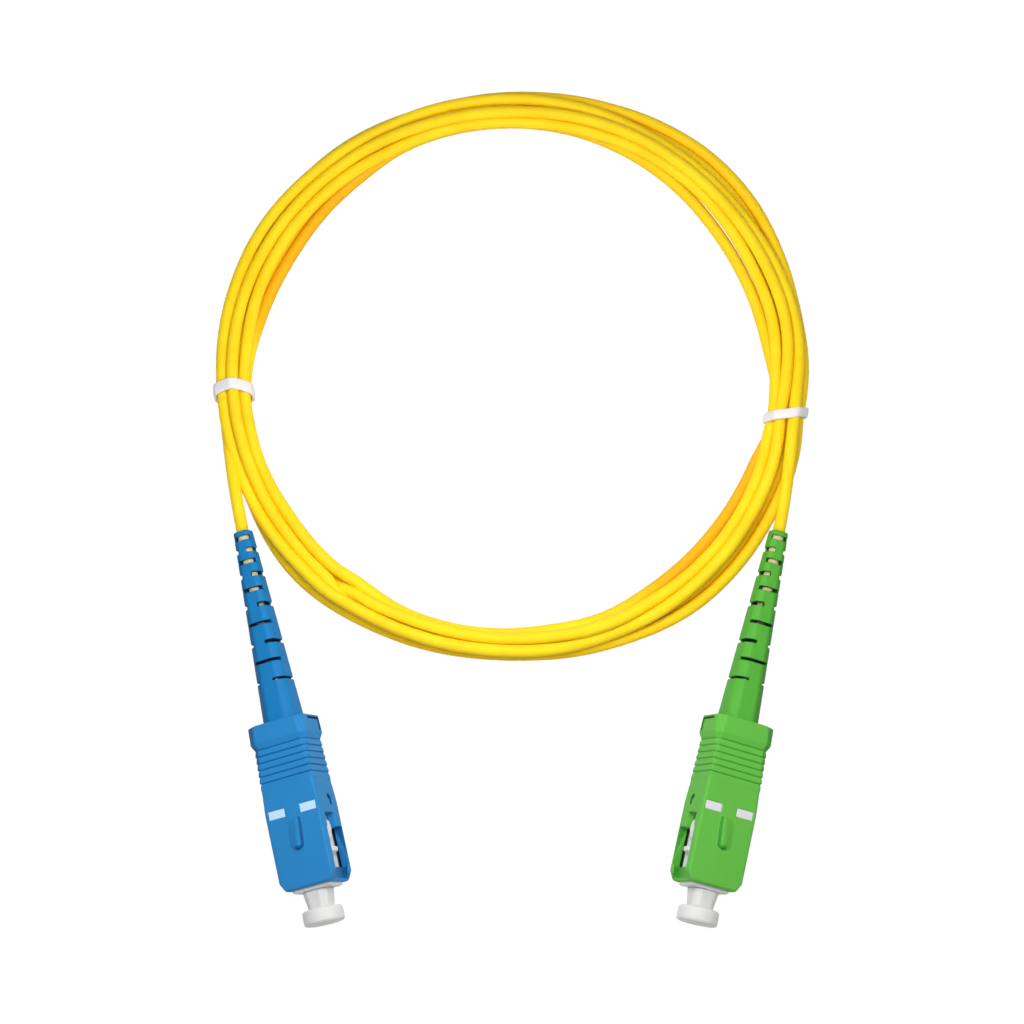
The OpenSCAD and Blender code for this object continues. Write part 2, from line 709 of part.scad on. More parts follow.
module plug_frame() {
    half_w = frame_w / 2;
    half_h = frame_h / 2;
    c = frame_chamfer;
    color(white)
        difference() {
            union() {
                translate([frame_u0, 0, 0])
                    rotate([90, 0, 90])
                        linear_extrude(frame_u1 - frame_u0)
                            polygon([[half_w, half_h - c], [half_w - c, half_h],
                                [c - half_w, half_h], [-half_w, half_h - c],
                                [-half_w, c - half_h], [c - half_w, -half_h],
                                [half_w - c, -half_h], [half_w, c - half_h]]);
                for (a = [0, 1]) mirror([0, a, 0]) latch_boss();
            }
            rod(frame_bore, frame_u0 - cut, web_u0, bore_fn);
            rod(web_bore, web_u0 - cut, frame_u1 + cut, bore_fn);
            rod(frame_bore, web_u0 + web_t, frame_u1 + cut, bore_fn);
        }
}

// The boss that an adapter's arm hooks behind: a square back and a sloping front
module latch_boss() {
    side = frame_w / 2;
    translate([0, 0, -boss_w / 2])
        linear_extrude(boss_w)
            polygon([[boss_u0, side - slide_gap], [boss_u0, side + boss_h],
                [boss_u0 + boss_l / 2, side + boss_h], [boss_u1, side],
                [boss_u1, side - slide_gap]]);
}

// ---- ferrule, flange, spring and fiber ----

module ferrule(polish) {
    r = ferrule_d / 2;
    bore_r = fiber_d / 2 + fiber_gap;
    color(white)
        difference() {
            turned([[bore_r, ferrule_u0], [r - ferrule_chamfer, ferrule_u0],
                [r, ferrule_u0 + ferrule_chamfer], [r, ferrule_u1 - ferrule_bevel],
                [r - 0.7 * ferrule_bevel, ferrule_u1], [bore_r, ferrule_u1]], bore_fn);
            polish_cut(polish);
        }
}

// Takes off the tip at the polish angle, low side towards the key
module polish_cut(polish) {
    translate([ferrule_u1, 0, 0])
        rotate([0, -polish, 0])
            translate([0, -ferrule_d, -ferrule_d])
                cube([ferrule_d, 2 * ferrule_d, 2 * ferrule_d]);
}

module fiber(polish) {
    color([0.85, 0.92, 0.95])
        difference() {
            rod(fiber_d, ferrule_u0, ferrule_u1, bore_fn);
            polish_cut(polish);
        }
}

module ferrule_flange() {
    r = ferrule_d / 2 + press_gap / 2;
    buffer_r = buffer_d / 2 + slide_gap;
    color(brass)
        turned([[r, ferrule_u0 - press_gap], [r, web_u0], [collar_d / 2, web_u0],
            [collar_d / 2, collar_u0], [flange_d / 2, collar_u0], [flange_d / 2, flange_u0],
            [flange_tube_d / 2, flange_u0], [flange_tube_d / 2, flange_tube_u0],
            [buffer_r, flange_tube_u0], [buffer_r, ferrule_u0 - press_gap]], bore_fn);
}

// An open coil spring between the stop body and the flange's collar
module ferrule_spring() {
    curl_steps = 12;
    steps = curl_steps * spring_curls;
    r = spring_wire / 2;
    rise = spring_u1 - spring_u0 - spring_wire;
    function wire_point(i) = let (a = 360 * i / curl_steps)
        [spring_u0 + r + rise * i / steps, spring_d / 2 * cos(a), spring_d / 2 * sin(a)];
    color(steel)
        swept_wire([for (i = [0:steps]) wire_point(i)], r, 6);
}

// A wire swept along points that wind round the x axis
module swept_wire(p, r, sides) {
    rings = len(p);
    function wire_ring(i) =
        let (w = way_at(p, i), out = unit([0, p[i].y, p[i].z]), up = unit(cross(w, out)),
            flat_out = cross(up, w))
        [for (k = [0:sides - 1]) let (a = 360 * k / sides)
            p[i] + r * (cos(a) * flat_out + sin(a) * up)];
    tube_skin([for (i = [rings - 1:-1:0]) wire_ring(i)], p[rings - 1], p[0], sides);
}

// ---- stop body, crimp, yarn, buffer and jacket end ----

module stop_body() {
    bore_r = buffer_d / 2 + stop_clearance;
    spigot_r = frame_bore / 2 - press_gap;
    color(steel)
        turned([[bore_r, neck_u0], [neck_d / 2, neck_u0], [neck_d / 2, stop_flange_u0],
            [stop_flange_d / 2, stop_flange_u0], [stop_flange_d / 2, frame_u0],
            [spigot_r, frame_u0], [spigot_r, stop_u1 - stop_chamfer],
            [spigot_r - stop_chamfer, stop_u1],
            [bore_r, stop_u1]], bore_fn);
}

module crimp_sleeve() {
    wide_r0 = neck_d / 2 + yarn_t + 2 * press_gap;
    wide_r1 = wide_r0 + crimp_wall;
    narrow_r0 = cord_d / 2 + press_gap;
    narrow_r1 = narrow_r0 + crimp_wall;
    step_u1 = crimp_step_u + crimp_shoulder_l / 3;
    color(steel)
        turned([[narrow_r0, crimp_u0], [narrow_r1, crimp_u0],
            [narrow_r1, step_u1 - crimp_shoulder_l], [wide_r1, step_u1], [wide_r1, crimp_u1],
            [wide_r0, crimp_u1], [wide_r0, step_u1], [narrow_r0, jacket_end_u]], bore_fn);
}

// The yarn runs inside the jacket, flares out and lies round the crimp neck
module aramid_yarn() {
    in_r0 = buffer_d / 2 + press_gap;
    in_r1 = jacket_bore_r - press_gap;
    out_r0 = neck_d / 2 + press_gap;
    out_r1 = out_r0 + yarn_t;
    flare_l = 2 * yarn_t;
    color(yarn_gold)
        turned([[in_r0, boot_tip_u], [in_r1, boot_tip_u], [in_r1, jacket_end_u],
            [out_r1, neck_u0 - flare_l], [out_r1, crimp_u1 - yarn_t], [out_r0, crimp_u1 - yarn_t],
            [out_r0, neck_u0 - yarn_t / 2], [in_r0, neck_u0 - 1.5 * flare_l]], bore_fn);
}

module buffer_tube() {
    color(white)
        rod(buffer_d, boot_tip_u, ferrule_u0 - ferrule_float - 2 * slide_gap, bore_fn);
}

module jacket_end() {
    color(jacket_yellow)
        sleeve(cord_d, 2 * jacket_bore_r, boot_tip_u, jacket_end_u, bore_fn);
}

// ---- boot ----

// The soft square body: flats from four sloping cuts, corners from a cone
module boot_body() {
    difference() {
        turned([[0, boot_tip_u], [boot_tip_d / 2, boot_tip_u], [boot_base_d / 2, 0],
            [boot_base_d / 2, boot_inside_l], [0, boot_inside_l]], bore_fn);
        for (turn = [0:90:270])
            rotate([turn, 0, 0])
                translate([boot_tip_u, -boot_base_d, boot_tip_w / 2])
                    rotate([0, -atan(boot_slope), 0])
                        translate([-cut, 0, 0])
                            cube([2 * boot_l, 2 * boot_base_d, boot_base_d]);
    }
}

function slot_u(i) = boot_tip_u + slot_first + i * slot_step + slot_growth * i * (i - 1) / 2;

module boot(tint) {
    color(tint)
        difference() {
            boot_body();
            rod(cord_d + 2 * boot_gap, boot_tip_u - cut, boot_inside_l + cut, bore_fn);
            rod(2 * narrow_bore_r, crimp_u0 - boot_gap, boot_inside_l + cut, bore_fn);
            rod(2 * wide_bore_r, crimp_step_u - crimp_shoulder_l, boot_inside_l + cut, bore_fn);
            for (i = [0:slot_count - 1]) {
                half = boot_tip_w / 2 + boot_slope * (slot_u(i) - boot_tip_u);
                h = slot_tip_h + (slot_base_h - slot_tip_h) * i / (slot_count - 1);
                depth = half - slot_floor;
                rotate([i % 2 == 0 ? 0 : 90, 0, 0])
                    for (s = [0, 1])
                        mirror([0, 0, s])
                            translate([slot_u(i) - h / 2, slot_web - half, slot_floor])
                                cube([h, 2 * (half - slot_web), depth + cut]);
            }
        }
}

// ---- dust cap ----

module dust_cap() {
    r = cap_disc_d / 2;
    color(cap_white)
        difference() {
            union() {
                rod(cap_spigot_d, cap_u0, cap_stem_u0 + cut, bore_fn);
                intersection() {
                    turned([[0, cap_stem_u0], [cap_stem_d / 2, cap_stem_u0],
                        [cap_neck_d / 2, cap_disc_u0 + slide_gap],
                        [0, cap_disc_u0 + slide_gap]], bore_fn);
                    block(cap_stem_u0 - cut, cap_disc_u0 + cut, cap_flats_w, 1.1 * cap_flats_w);
                }
                turned([[0, cap_disc_u0], [r - cap_round, cap_disc_u0],
                    [r, cap_disc_u0 + cap_round], [r, cap_u1 - cap_round],
                    [r - cap_round, cap_u1], [0, cap_u1]], bore_fn);
            }
            rod(ferrule_d + 2 * cap_gap, cap_u0 - cut, ferrule_u1 + cap_end_gap, bore_fn);
        }
}

cord_coil();
cord_tail_a();
cord_tail_b();
tie(0);  // tie_left
tie(coil_sweep);  // tie_right

at_a() grip(blue);  // grip_a
at_a() grip_marks();  // grip_marks_a
at_a() plug_frame();  // plug_frame_a
at_a() dust_cap();  // dust_cap_a
at_a() ferrule(0);  // ferrule_a
at_a() ferrule_flange();  // ferrule_flange_a
at_a() ferrule_spring();  // ferrule_spring_a
at_a() fiber(0);  // fiber_a
at_a() stop_body();  // stop_body_a
at_a() crimp_sleeve();  // crimp_sleeve_a
at_a() aramid_yarn();  // aramid_yarn_a
at_a() buffer_tube();  // buffer_tube_a
at_a() jacket_end();  // jacket_end_a
at_a() boot(blue);  // boot_a

at_b() grip(green);  // grip_b
at_b() grip_marks();  // grip_marks_b
at_b() plug_frame();  // plug_frame_b
at_b() dust_cap();  // dust_cap_b
at_b() ferrule(angled_polish);  // ferrule_b
at_b() ferrule_flange();  // ferrule_flange_b
at_b() ferrule_spring();  // ferrule_spring_b
at_b() fiber(angled_polish);  // fiber_b
at_b() stop_body();  // stop_body_b
at_b() crimp_sleeve();  // crimp_sleeve_b
at_b() aramid_yarn();  // aramid_yarn_b
at_b() buffer_tube();  // buffer_tube_b
at_b() jacket_end();  // jacket_end_b
at_b() boot(green);  // boot_b
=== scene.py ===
# A fiber optic patch cord: a yellow cord in a round coil with two white ties, and a square
# push-pull connector with a slotted boot and a dust cap on each end, blue (a) and green (b).
# Shapes are worked out in millimetres and turned into metres where a piece is made.
from math import ceil, cos, pi, radians, sin

import bmesh
import bpy
import numpy as np
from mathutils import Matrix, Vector


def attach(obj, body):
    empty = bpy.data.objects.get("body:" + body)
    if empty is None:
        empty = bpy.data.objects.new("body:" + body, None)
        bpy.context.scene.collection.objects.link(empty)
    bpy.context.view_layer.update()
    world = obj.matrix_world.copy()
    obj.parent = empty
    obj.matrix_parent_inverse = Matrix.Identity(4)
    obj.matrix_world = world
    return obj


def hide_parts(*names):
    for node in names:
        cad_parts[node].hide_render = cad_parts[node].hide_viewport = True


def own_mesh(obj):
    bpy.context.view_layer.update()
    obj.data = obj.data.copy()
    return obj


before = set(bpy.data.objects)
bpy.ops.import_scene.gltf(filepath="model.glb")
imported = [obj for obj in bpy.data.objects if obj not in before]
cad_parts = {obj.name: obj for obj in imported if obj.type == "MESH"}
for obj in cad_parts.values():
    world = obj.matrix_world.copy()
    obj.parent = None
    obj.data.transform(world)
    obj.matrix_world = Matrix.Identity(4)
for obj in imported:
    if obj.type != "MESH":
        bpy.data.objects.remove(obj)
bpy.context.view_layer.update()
MM = 0.001
scene = bpy.context.scene

# ---- Camera: above the coil and a little in front of it, with a long lens ----
# It stands 480 mm from the middle of the object, 77 degrees above the table, and sees 20
# degrees.
AIM = Vector((0.2, 36.5, 0)) * MM
CAMERA_FAR, CAMERA_TILT = 480.2, radians(77)
camera = bpy.data.objects.new("camera", bpy.data.cameras.new("camera"))
scene.collection.objects.link(camera)
camera.location = AIM + CAMERA_FAR * MM * Vector((0, -cos(CAMERA_TILT), sin(CAMERA_TILT)))
camera.rotation_euler = (AIM - camera.location).to_track_quat("-Z", "Y").to_euler()
camera.data.sensor_width = 36
camera.data.lens = 102.12
camera.data.clip_start = 0.01
scene.camera = camera

# ---- Light and floor ----
# A white table that the camera sees as plain white but for a faint shadow, a soft lamp over
# the middle of the object, two weak ones at its sides, and a pale room round it all.
LIGHTS = [  # name, place (m), size (m), power (W), tint
    ("lamp_middle", (0.0, 0.032, 0.145), 0.11, 0.222, (1.0, 1.0, 1.0)),
    ("lamp_right", (0.50, -0.10, 0.34), 0.30, 0.14, (1.0, 0.99, 0.97)),
    ("lamp_left", (-0.50, -0.10, 0.34), 0.30, 0.14, (0.97, 0.99, 1.0)),
]
for name, place, size, power, tint in LIGHTS:
    lamp = bpy.data.lights.new(name, "AREA")
    lamp.shape, lamp.size, lamp.energy, lamp.color = "DISK", size, power, tint
    lamp_object = bpy.data.objects.new(name, lamp)
    lamp_object.location = place
    to_table = Vector((0, 0.04, 0)) - lamp_object.location
    lamp_object.rotation_euler = to_table.to_track_quat("-Z", "Y").to_euler()
    lamp_object.visible_camera = False
    scene.collection.objects.link(lamp_object)


def seen_and_lit(tree, seen, lit):
    """Mixes two shaders: one for what the camera sees, straight or through a shiny or clear
    surface, and one for the light that reaches the object."""
    path = tree.nodes.new("ShaderNodeLightPath")
    either = path.outputs["Is Camera Ray"]
    for other in ("Is Glossy Ray", "Is Transmission Ray"):
        add = tree.nodes.new("ShaderNodeMath")
        add.operation, add.use_clamp = "ADD", True
        tree.links.new(either, add.inputs[0])
        tree.links.new(path.outputs[other], add.inputs[1])
        either = add.outputs[0]
    mix = tree.nodes.new("ShaderNodeMixShader")
    tree.links.new(either, mix.inputs[0])
    tree.links.new(lit, mix.inputs[1])
    tree.links.new(seen, mix.inputs[2])
    return mix.outputs[0]


world = bpy.data.worlds.new("room")
world.use_nodes = True
scene.world = world
sky = world.node_tree
sky.nodes.clear()
room = sky.nodes.new("ShaderNodeBackground")
room.inputs["Color"].default_value = (0.97, 0.985, 1.0, 1)
room.inputs["Strength"].default_value = 0.32
plain = sky.nodes.new("ShaderNodeBackground")
plain.inputs["Color"].default_value = (1, 1, 1, 1)
sky_out = sky.nodes.new("ShaderNodeOutputWorld")
sky.links.new(seen_and_lit(sky, plain.outputs[0], room.outputs[0]), sky_out.inputs[0])

floor_mesh = bpy.data.meshes.new("table")
floor_mesh.from_pydata([(-2, -2, 0), (2, -2, 0), (2, 2, 0), (-2, 2, 0)], [], [(0, 1, 2, 3)])
floor = bpy.data.objects.new("table", floor_mesh)
floor.location.z = -0.0002      # a hair below the lowest turn
scene.collection.objects.link(floor)
table_white = bpy.data.materials.new("table_white")
table_white.use_nodes = True
table = table_white.node_tree
table.nodes.clear()
glow = table.nodes.new("ShaderNodeEmission")
glow.inputs["Color"].default_value = (1, 1, 1, 1)
glow.inputs["Strength"].default_value = 1.10
paper = table.nodes.new("ShaderNodeBsdfDiffuse")
paper.inputs["Color"].default_value = (0.66, 0.66, 0.65, 1)
faint_shadow = table.nodes.new("ShaderNodeMixShader")
faint_shadow.inputs[0].default_value = 0.12
table.links.new(glow.outputs[0], faint_shadow.inputs[1])
table.links.new(paper.outputs[0], faint_shadow.inputs[2])
table_out = table.nodes.new("ShaderNodeOutputMaterial")
table.links.new(seen_and_lit(table, faint_shadow.outputs[0], paper.outputs[0]),
                table_out.inputs[0])
floor.data.materials.append(table_white)
scene.view_settings.view_transform = "Standard"


# ---- Cord: one 2 mm yellow PVC jacket from boot to boot, six and a half turns ----
# Satin extruded PVC with faint die lines along it. Its route is settled turn on turn, as the
# coil was laid, and a round tube is swept along it.
class Val:
    """A socket of a node graph that can be added, multiplied and so on like a number."""

    def __init__(self, graph, socket):
        self.graph, self.socket = graph, socket

    def math(self, operation, other=0.0, swap=False):
        pair = (other, self) if swap else (self, other)
        return self.graph.node("ShaderNodeMath", dict(enumerate(pair)), operation=operation)

    def __add__(self, other): return self.math("ADD", other)
    def __radd__(self, other): return self.math("ADD", other)
    def __sub__(self, other): return self.math("SUBTRACT", other)
    def __rsub__(self, other): return self.math("SUBTRACT", other, swap=True)
    def __mul__(self, other): return self.math("MULTIPLY", other)
    def __rmul__(self, other): return self.math("MULTIPLY", other)
    def __truediv__(self, other): return self.math("DIVIDE", other)
    def absolute(self): return self.math("ABSOLUTE")
    def most(self, other): return self.math("MAXIMUM", other)
    def above(self, other): return self.math("GREATER_THAN", other)
    def between(self, low, high): return self.above(low) * (1 - self.above(high))


class Graph:
    """A material's node graph, written as sums of textures in millimetres."""

    def __init__(self, name):
        self.material = bpy.data.materials.new(name)
        self.material.use_nodes = True
        self.tree = self.material.node_tree
        self.tree.nodes.clear()

    def node(self, kind, inputs, output=0, **settings):
        made = self.tree.nodes.new(kind)
        for key, value in settings.items():
            setattr(made, key, value)
        for key, value in inputs.items():
            if isinstance(value, Val):
                self.tree.links.new(value.socket, made.inputs[key])
            elif isinstance(value, tuple) and len(value) == 3 and made.inputs[key].type == "RGBA":
                made.inputs[key].default_value = (*value, 1)
            else:
                made.inputs[key].default_value = value
        return Val(self, made.outputs[output])

    def stretched(self, vector, factors):
        """A vector with each of its numbers times its own factor."""
        return self.node("ShaderNodeVectorMath", {0: vector, 1: factors}, operation="MULTIPLY")

    def place(self):
        """The point's place in the object's frame, in millimetres."""
        return self.stretched(self.node("ShaderNodeTexCoord", {}, "Object"), (1000, 1000, 1000))

    def parts(self, vector):
        """The three numbers of a vector."""
        split = self.tree.nodes.new("ShaderNodeSeparateXYZ")
        self.tree.links.new(vector.socket, split.inputs[0])
        return [Val(self, socket) for socket in split.outputs]

    def attribute(self, name, output="Fac"):
        return self.node("ShaderNodeAttribute", {}, output, attribute_name=name)

    def noise(self, at, size, detail=2.0, stretch=(1, 1, 1)):
        """Cloudy noise of 0 to 1 whose lumps are size mm wide, longer by stretch."""
        scaled = self.stretched(at, tuple(1 / (size * s) for s in stretch))
        return self.node("ShaderNodeTexNoise", {"Vector": scaled, "Scale": 1.0, "Detail": detail})

    def mix(self, low, high, share):
        """A colour between two others."""
        made = self.tree.nodes.new("ShaderNodeMix")
        made.data_type, made.clamp_factor = "RGBA", True
        self.tree.links.new(share.socket, made.inputs["Factor"])
        for socket, value in ((made.inputs[6], low), (made.inputs[7], high)):
            if isinstance(value, Val):
                self.tree.links.new(value.socket, socket)
            else:
                socket.default_value = (*value, 1)
        return Val(self, made.outputs[2])

    def bump(self, height, depth):
        """A normal for a height of 0 to 1 that stands depth mm proud at 1."""
        return self.node("ShaderNodeBump",
                         {"Height": height, "Distance": depth * MM, "Strength": 1.0})

    def surface(self, **inputs):
        """The finished material. Underscores in the names stand for spaces."""
        named = {key.replace("_", " "): value for key, value in inputs.items()}
        shader = self.node("ShaderNodeBsdfPrincipled", named)
        out = self.tree.nodes.new("ShaderNodeOutputMaterial")
        self.tree.links.new(shader.socket, out.inputs[0])
        return self.material


def clipped(value):
    """A value kept to 0 to 1."""
    return value.most(0.0).math("MINIMUM", 1.0)


def tone_times(tone, share):
    """A tone times a share, for the thing's own lighter and darker tones and for painted shade."""
    return tuple(min(1, c * share) for c in tone)


def jacket_material(name, in_boot=False):
    """Yellow PVC: warm patches a few millimetres long, die lines along the cord, soft sheen. It
    has painted shade: a deeper, more orange yellow near the table and under other turns."""
    g = Graph(name)
    at, along, around = g.place(), g.attribute("along"), g.attribute("around")
    _, y, z = g.parts(at)
    line_place = g.node("ShaderNodeCombineXYZ", {"X": along * 0.02, "Y": around * 5.0})
    die_lines = g.noise(line_place, 1.0, 3.0)
    patches = g.noise(at, 6.0, 2.0)
    grain = g.noise(at, 0.12, 2.0)
    low, high = (0.930, 0.600, 0.006), (0.970, 0.725, 0.014)
    tone = g.mix(low, high, patches * 1.5 - 0.25)
    tone = g.mix(tone, tone_times(low, 0.92), (die_lines - 0.55) * 1.2)
    # Painted shade: a deeper, more orange yellow the nearer a turn lies to the table
    tone = g.mix(tone, (0.90, 0.42, 0.004), clipped((2.7 - z) * 0.4) * 0.6)
    # Painted shade: a deeper orange where the third turn lies under others
    tone = g.mix(tone, (0.86, 0.40, 0.004), g.attribute("under") * 0.8)
    if in_boot:        # painted shade: a dull tan for the yellow in the boot's shade, darker further down the bore
        tone = g.mix((0.64, 0.55, 0.29), (0.030, 0.035, 0.045), (22 - y) * 0.16)
    return g.surface(Base_Color=tone, Roughness=0.50 + grain * 0.14, Specular_IOR_Level=0.16,
                     Subsurface_Weight=0.10, Subsurface_Radius=(1.0, 0.45, 0.06),
                     Subsurface_Scale=0.0006,
                     Normal=g.bump(die_lines * 0.6 + grain * 0.4, 0.010))


def make_piece(name, points, faces, material, body, slot):
    """A smooth mesh object from points in millimetres, riding on a body. Its slot is not used."""
    mesh = bpy.data.meshes.new(name)
    mesh.from_pydata((np.asarray(points, float) * MM).tolist(), [], faces)
    mesh.update()
    mesh.polygons.foreach_set("use_smooth", [True] * len(mesh.polygons))
    mesh.materials.append(material)
    piece = bpy.data.objects.new(name, mesh)
    scene.collection.objects.link(piece)
    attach(piece, body)
    return piece


def grid_faces(rows, columns):
    """Four-sided faces over rows of points, wrapped round each row."""
    return [(r * columns + c, r * columns + (c + 1) % columns,
             (r + 1) * columns + (c + 1) % columns, (r + 1) * columns + c)
            for r in range(rows - 1) for c in range(columns)]


def capped_faces(rows, columns):
    """The same, with a face over each end."""
    end = rows * columns
    return grid_faces(rows, columns) + [tuple(range(columns - 1, -1, -1)),
                                        tuple(range(end - columns, end))]


def unit(v):
    return v / np.linalg.norm(v, axis=-1, keepdims=True)


def full_turn(count):
    """Angles at even steps round a circle."""
    return np.arange(count) * 2 * pi / count


def tube(path, radius, sides):
    """A round tube along a path: p(i, t) = path_i + radius (cos t across_i + sin t up_i), where
    across is level and square to the way, and up is square to both."""
    way = unit(np.gradient(path, axis=0))
    across = unit(np.cross(way, (0, 0, 1)))
    up = np.cross(across, way)
    turn = -full_turn(sides)
    ring = np.cos(turn)[None, :, None] * across[:, None] + np.sin(turn)[None, :, None] * up[:, None]
    return (path[:, None] + radius * ring).reshape(-1, 3), capped_faces(len(path), sides)


CORD_D, JACKET_SIDES = 2.0, 20
COIL_R, COIL_Y = 45.5, 59.9
PITCH = 2.02                        # from turn to turn where they touch
TIE_LEFT, TIE_RIGHT = 185.0, -9.8   # degrees from +X
SWEEP = TIE_LEFT - TIE_RIGHT
TIE_R = {"left": 46.0, "right": 46.1}
TIE_Z = 3.62                        # the bundle's middle at a tie
LOOPS, STEPS = 6, 72
# A tie holds one turn in the middle and six round it. The turns take these slots in order: in
# the left tie the first sits 30 degrees under the outer side, in the right tie level with it.
SLOTS = {side: PITCH * np.array([(cos(radians(t)), sin(radians(t))) if t is not None else (0, 0)
                                 for t in order])
         for side, order in (("left", (-30, -90, -150, 150, None, 90, 30)),
                             ("right", (0, -60, -120, 180, None, 120, 60)))}
# Degrees past the left tie, and the turns' radii and heights there, in mm. Between the ties
# the turns slump into two or three layers that spread and draw in again.
ZONES = [
    (0, None, None),
    (20, (48.1, 46.1, 43.1, 44.4, 45.0, 46.4, 48.2), (1.5, 1.3, 1.3, 3.2, 1.7, 3.9, 3.3)),
    (35, (48.2, 46.2, 42.2, 44.3, 44.2, 46.3, 48.6), (1.0, 1.0, 1.0, 2.9, 1.0, 3.0, 3.0)),
    (55, (48.3, 46.3, 43.25, 44.1, 45.1, 45.9, 47.9), (1.0, 1.0, 1.0, 2.7, 1.0, 3.1, 3.0)),
    (75, (48.0, 46.2, 44.3, 44.2, 45.8, 45.0, 47.4), (1.0, 1.0, 1.0, 2.9, 2.8, 4.5, 3.0)),
    (95, (48.9, 46.7, 44.4, 43.9, 45.8, 44.9, 47.9), (1.0, 1.0, 1.0, 2.9, 2.8, 4.5, 2.9)),
    (113, (49.6, 47.4, 44.4, 44.0, 45.6, 45.6, 47.6), (1.0, 1.0, 1.0, 2.9, 2.3, 4.2, 2.9)),
    (124, (50.5, 48.5, 43.85, 44.6, 45.9, 45.6, 47.2), (1.0, 1.0, 1.0, 2.8, 1.2, 4.3, 2.8)),
    (136, (51.1, 49.1, 43.3, 44.8, 46.6, 45.7, 47.3), (1.0, 1.0, 1.0, 2.7, 1.0, 4.4, 2.9)),
    (148, (50.8, 48.8, 42.65, 44.6, 46.2, 45.9, 47.2), (1.0, 1.0, 1.0, 2.7, 1.0, 4.4, 2.8)),
    (160, (49.6, 47.6, 42.6, 44.2, 45.2, 46.2, 47.8), (1.0, 1.0, 1.0, 3.0, 1.0, 4.2, 3.0)),
    (175, (48.2, 46.3, 42.9, 44.7, 45.0, 46.7, 48.3), (1.2, 1.1, 1.2, 3.3, 1.6, 4.3, 3.1)),
    (SWEEP, None, None),
    (205, (48.8, 46.8, 43.2, 44.6, 45.2, 46.2), (1.5, 1.3, 1.3, 3.2, 1.2, 4.2)),
    (215, (49.1, 47.1, 42.95, 44.8, 45.0, 46.4), (1.3, 1.0, 1.0, 2.9, 1.0, 4.1)),
    (225, (49.5, 47.5, 42.95, 45.1, 44.9, 46.9), (1.3, 1.0, 1.0, 2.9, 1.0, 4.0)),
    (237, (49.8, 47.8, 43.2, 45.3, 45.2, 47.2), (1.3, 1.0, 1.0, 2.9, 1.0, 4.0)),
    (255, (48.2, 46.3, 44.4, 46.2, 45.3, 47.2), (1.0, 1.0, 1.0, 4.5, 2.8, 2.9)),
    (275, (47.3, 45.3, 44.7, 45.5, 46.6, 47.4), (1.0, 1.0, 2.8, 4.6, 2.8, 4.6)),
    (300, (48.0, 45.9, 44.7, 45.2, 46.8, 47.5), (1.0, 1.0, 2.7, 4.5, 2.8, 4.5)),
    (320, (49.3, 44.7, 44.6, 46.8, 45.9, 47.6), (1.0, 1.0, 3.9, 1.2, 2.7, 3.7)),
    (345, (47.3, 44.9, 44.5, 46.1, 46.0, 47.7), (1.4, 1.5, 3.6, 2.9, 4.9, 3.8)),
    (360, None, None),
]


HELD = 2.6                          # degrees on each side of a tie that keep its slots
NEAR_TIE, TIE_REACH = 10, 28        # degrees: what counts as at a tie, and where its lift ends
ROUNDS, PUSHES = 260, 3             # of drawing together, and of pushing apart in each
FAR = 99                            # keeps a turn from pushing off itself
DRAWN, HOMEWARD, PUSHED = 0.5, 0.18, 0.45   # shares of the way that a place moves


def smooth_step(w):
    """A share of 0 to 1 that starts and ends gently."""
    w = np.clip(w, 0, 1)
    return w * w * (3 - 2 * w)


def zone_place(zone, turn):
    """[outwards, up] of a turn's middle across the bundle, in one zone."""
    _, radii, heights = ZONES[zone]
    if radii is None:
        slot = turn + 1 if zone == len(ZONES) - 1 else turn
        side = "left" if zone in (0, len(ZONES) - 1) else "right"
        return SLOTS[side][min(slot, 6)] + (TIE_R[side] - COIL_R, TIE_Z)
    turn = min(turn, len(radii) - 1)
    return np.array((radii[turn] - COIL_R, heights[turn]))


def settle():
    """The places of all turns across the bundle. They start in their zones' places, and each
    round a place is drawn to its neighbours along the cord and back to where it started, and is
    pushed off the other turns at its own angle and off the table."""
    last = ceil((360 * LOOPS + SWEEP) * STEPS / 360)
    angle = np.arange(last + 1) * 360 / STEPS
    past = angle % 360
    start = np.zeros((last + 1, 2))
    for i in range(last + 1):
        zone = max(z for z in range(len(ZONES) - 1) if ZONES[z][0] <= past[i] + 1e-9)
        low, high = ZONES[zone][0], ZONES[zone + 1][0]
        w = smooth_step((past[i] - low) / (high - low))
        turn = int(angle[i] // 360 + 1e-9)
        start[i] = (1 - w) * zone_place(zone, turn) + w * zone_place(zone + 1, turn)
    from_tie = np.minimum(np.minimum(past, 360 - past), abs(past - SWEEP))
    held = (from_tie < HELD) | (np.arange(last + 1) == last)
    for i in np.flatnonzero(held):
        side = "right" if abs(past[i] - SWEEP) < NEAR_TIE else "left"
        start[i] = (SLOTS[side][min(int((angle[i] + NEAR_TIE) // 360), 6)]
                    + (TIE_R[side] - COIL_R, TIE_Z))
    w = smooth_step(from_tie / TIE_REACH)
    lowest = w * CORD_D / 2 + (1 - w) * (TIE_Z - PITCH)
    places = start.copy()
    for _ in range(ROUNDS):
        moved = places.copy()
        moved[1:-1] += DRAWN * ((places[:-2] + places[2:]) / 2 - places[1:-1])
        moved += HOMEWARD * (start - moved)
        places = np.where(held[:, None], places, moved)
        for _ in range(PUSHES):
            push = np.zeros_like(places)
            for s in range(STEPS):
                group = np.arange(s, last + 1, STEPS)
                apart = places[group][:, None] - places[group][None]
                gap = np.linalg.norm(apart, axis=2) + FAR * np.eye(len(group))
                share = np.clip(PITCH - gap, 0, None) / gap
                push[group] = PUSHED * (apart * share[..., None]).sum(1)
            places = np.where(held[:, None], places, places + push)
            places[:, 1] = np.maximum(places[:, 1], np.where(held, 0, lowest))
    return angle, places


